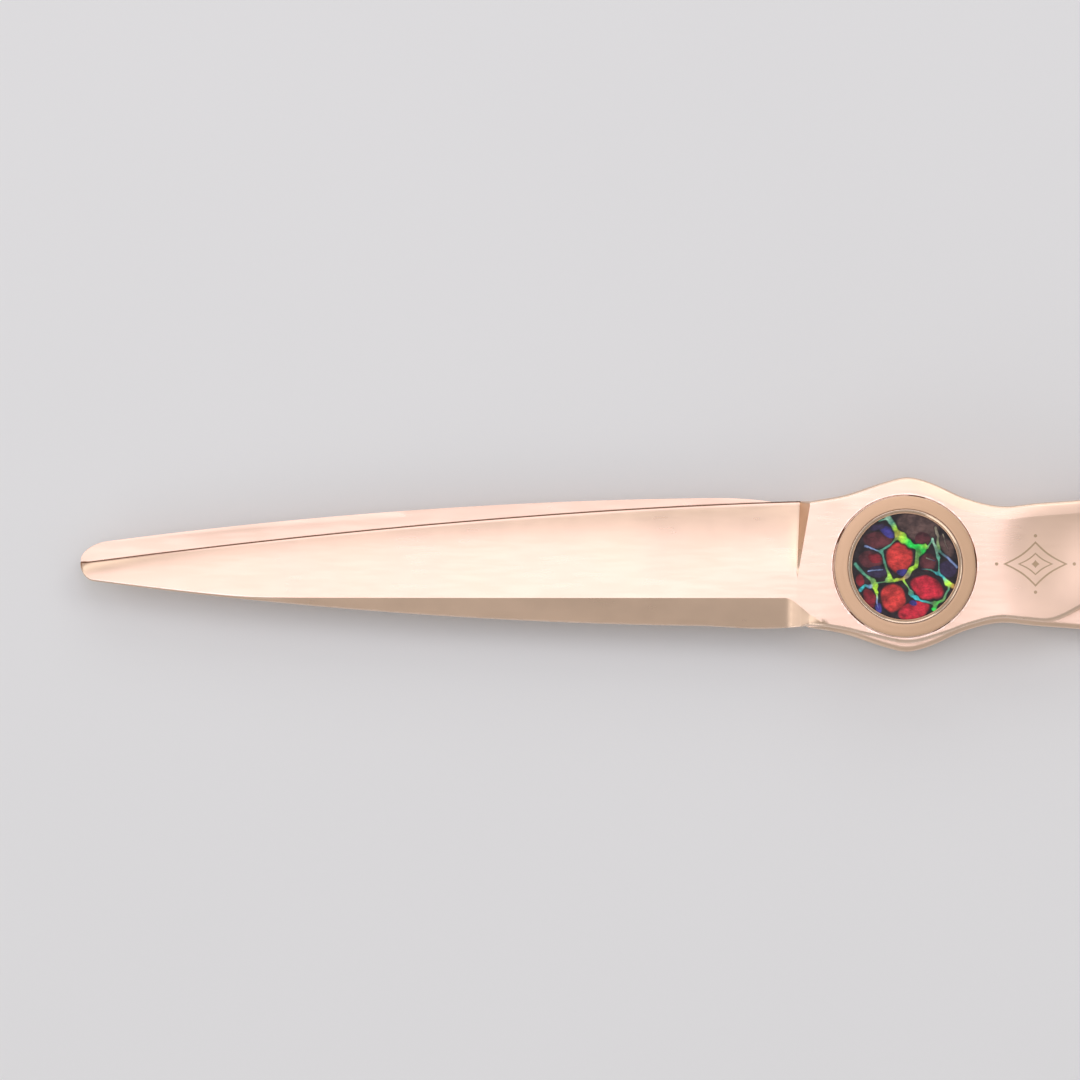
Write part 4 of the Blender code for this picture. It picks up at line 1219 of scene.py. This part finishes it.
def make_finger_rest():
    """The curved tang as a smooth tapering rod with a rounded end, and its washer."""
    stud_r, stud_depth = REST_STUD
    start = RING_OUTER_R + REST_WASHER[1] + 0.05
    points = [(RING_OUTER_R - stud_depth, 0.0, stud_r), (start - 0.02, 0.0, stud_r)]
    spans = len(REST_PATH) - 1
    count, around = REST_STEPS
    for k in range(count + 1):
        along = spans * k / count
        i = min(int(along), spans - 1)
        x, y, share = (along_path(i, along - i, axis) for axis in range(3))
        points.append((start + x, y, share * REST_R))
    x, y, radius = points[-1]
    for k in range(1, SIDE_STEPS + 1):
        angle = 0.48 * pi * k / SIDE_STEPS
        points.append((x, y + REST_TIP * sin(angle), radius * cos(angle)))
    bm = bmesh.new()
    loops = []
    for k, (x, y, radius) in enumerate(points):
        before = Vector(points[max(k - 1, 0)][:2])
        after = Vector(points[min(k + 1, len(points) - 1)][:2])
        ahead = (after - before).normalized() if k > 2 else Vector((1.0, 0.0))
        sideways = Vector((-ahead.y, ahead.x))
        loops.append([])
        for j in range(around):
            angle = tau * j / around
            flat = Vector((x, y)) + sideways * radius * cos(angle)
            loops[-1].append(vertex(bm, *flat, radius * sin(angle)))
    wrap(bm, loops)
    bm.faces.new(loops[0])
    bm.faces.new(loops[-1])
    bmesh.ops.recalc_face_normals(bm, faces=bm.faces)
    rest = made("finger_rest_tang", bm)
    turn = Matrix.Rotation(radians(REST_ANGLE), 4, "Z")
    rest.data.transform(shift(*FINGER_RING, INNER_Z) @ turn)
    finished(rest, rest_gold, "finger_half", "finger_rest_metal", "finger_rest", sharp_deg=40.0)
    low, high = (RING_OUTER_R + edge for edge in REST_WASHER)
    profile = rounded(ring_corners(stud_r + 0.08, REST_R, low, high, 0.12))
    washer = turned("finger_rest_grommet", profile, BUMPER_STEPS[0])
    washer.data.transform(towards(FINGER_RING, radians(REST_ANGLE)))
    finished(washer, bumper_rubber, "finger_half", "bumper_rubber", "finger_rest_washer")


# ---- the room

VIEW_CENTRE = (-30.4, 2.2, 5.4)
VIEW_WIDTH = 90.0
LENS = 300.0
SENSOR = 36.0


def softbox(name, place, aim, wide, high, power, tint=(1.0, 1.0, 1.0)):
    data = bpy.data.lights.new(name, "AREA")
    data.shape = "RECTANGLE"
    data.size = wide
    data.size_y = high
    data.energy = power
    data.color = tint
    light = add_object(name, data)
    light.location = place
    light.rotation_mode = "QUATERNION"
    light.rotation_quaternion = (Vector(aim) - Vector(place)).to_track_quat("-Z", "Y")
    light.visible_camera = False


def make_room():
    bm = bmesh.new()
    bmesh.ops.create_grid(bm, x_segments=8, y_segments=8, size=4.0)
    floor = made("floor", bm)
    floor.data.materials.append(floor_paint("floor_paint"))
    softbox("key", (-0.05, 0.18, 0.62), (-0.05, 0.18, 0.0), 0.27, 0.58, 0.65, (1.0, 0.955, 1.17))
    softbox("far_side", (-0.05, 0.85, 0.50), (0.0, 0.0, 0.0), 0.9, 0.4, 1.1)
    softbox("left", (-0.62, 0.2, 0.5), (0.0, 0.0, 0.0), 0.5, 0.36, 0.75)
    softbox("far_right", (0.29, 0.37, 0.62), (0.29, 0.37, 0.0), 0.38, 0.38, 0.75)
    softbox("front_left", (-0.50, -0.55, 0.32), (0.0, 0.0, 0.0), 0.6, 0.3, 0.6)
    world = bpy.data.worlds.new("studio")
    world.use_nodes = True
    inputs = world.node_tree.nodes["Background"].inputs
    inputs["Color"].default_value = (1.0, 0.985, 0.97, 1.0)
    inputs["Strength"].default_value = 0.5
    scene = bpy.context.scene
    scene.world = world
    scene.view_settings.view_transform = "Standard"
    camera = add_object("camera", bpy.data.cameras.new("camera"))
    camera.data.sensor_width = SENSOR
    camera.data.lens = LENS
    x, y, z = VIEW_CENTRE
    camera.location = Vector((x, y, z + VIEW_WIDTH * LENS / SENSOR)) * MM
    camera.data.clip_start = 0.05
    camera.data.clip_end = 20.0
    scene.camera = camera


make_finger_half()
make_thumb_half()
make_bearing()
make_bolt()
make_dial()
make_inlay()
make_ornament()
make_bumper()
make_finger_rest()
for node, material in (("bearing_cage", cage_brass), ("click_plate", spring_steel),
                       ("wave_washer", spring_steel)):
    material_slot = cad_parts[node].material_slots[0]
    material_slot.link = "OBJECT"
    material_slot.material = material
make_room()
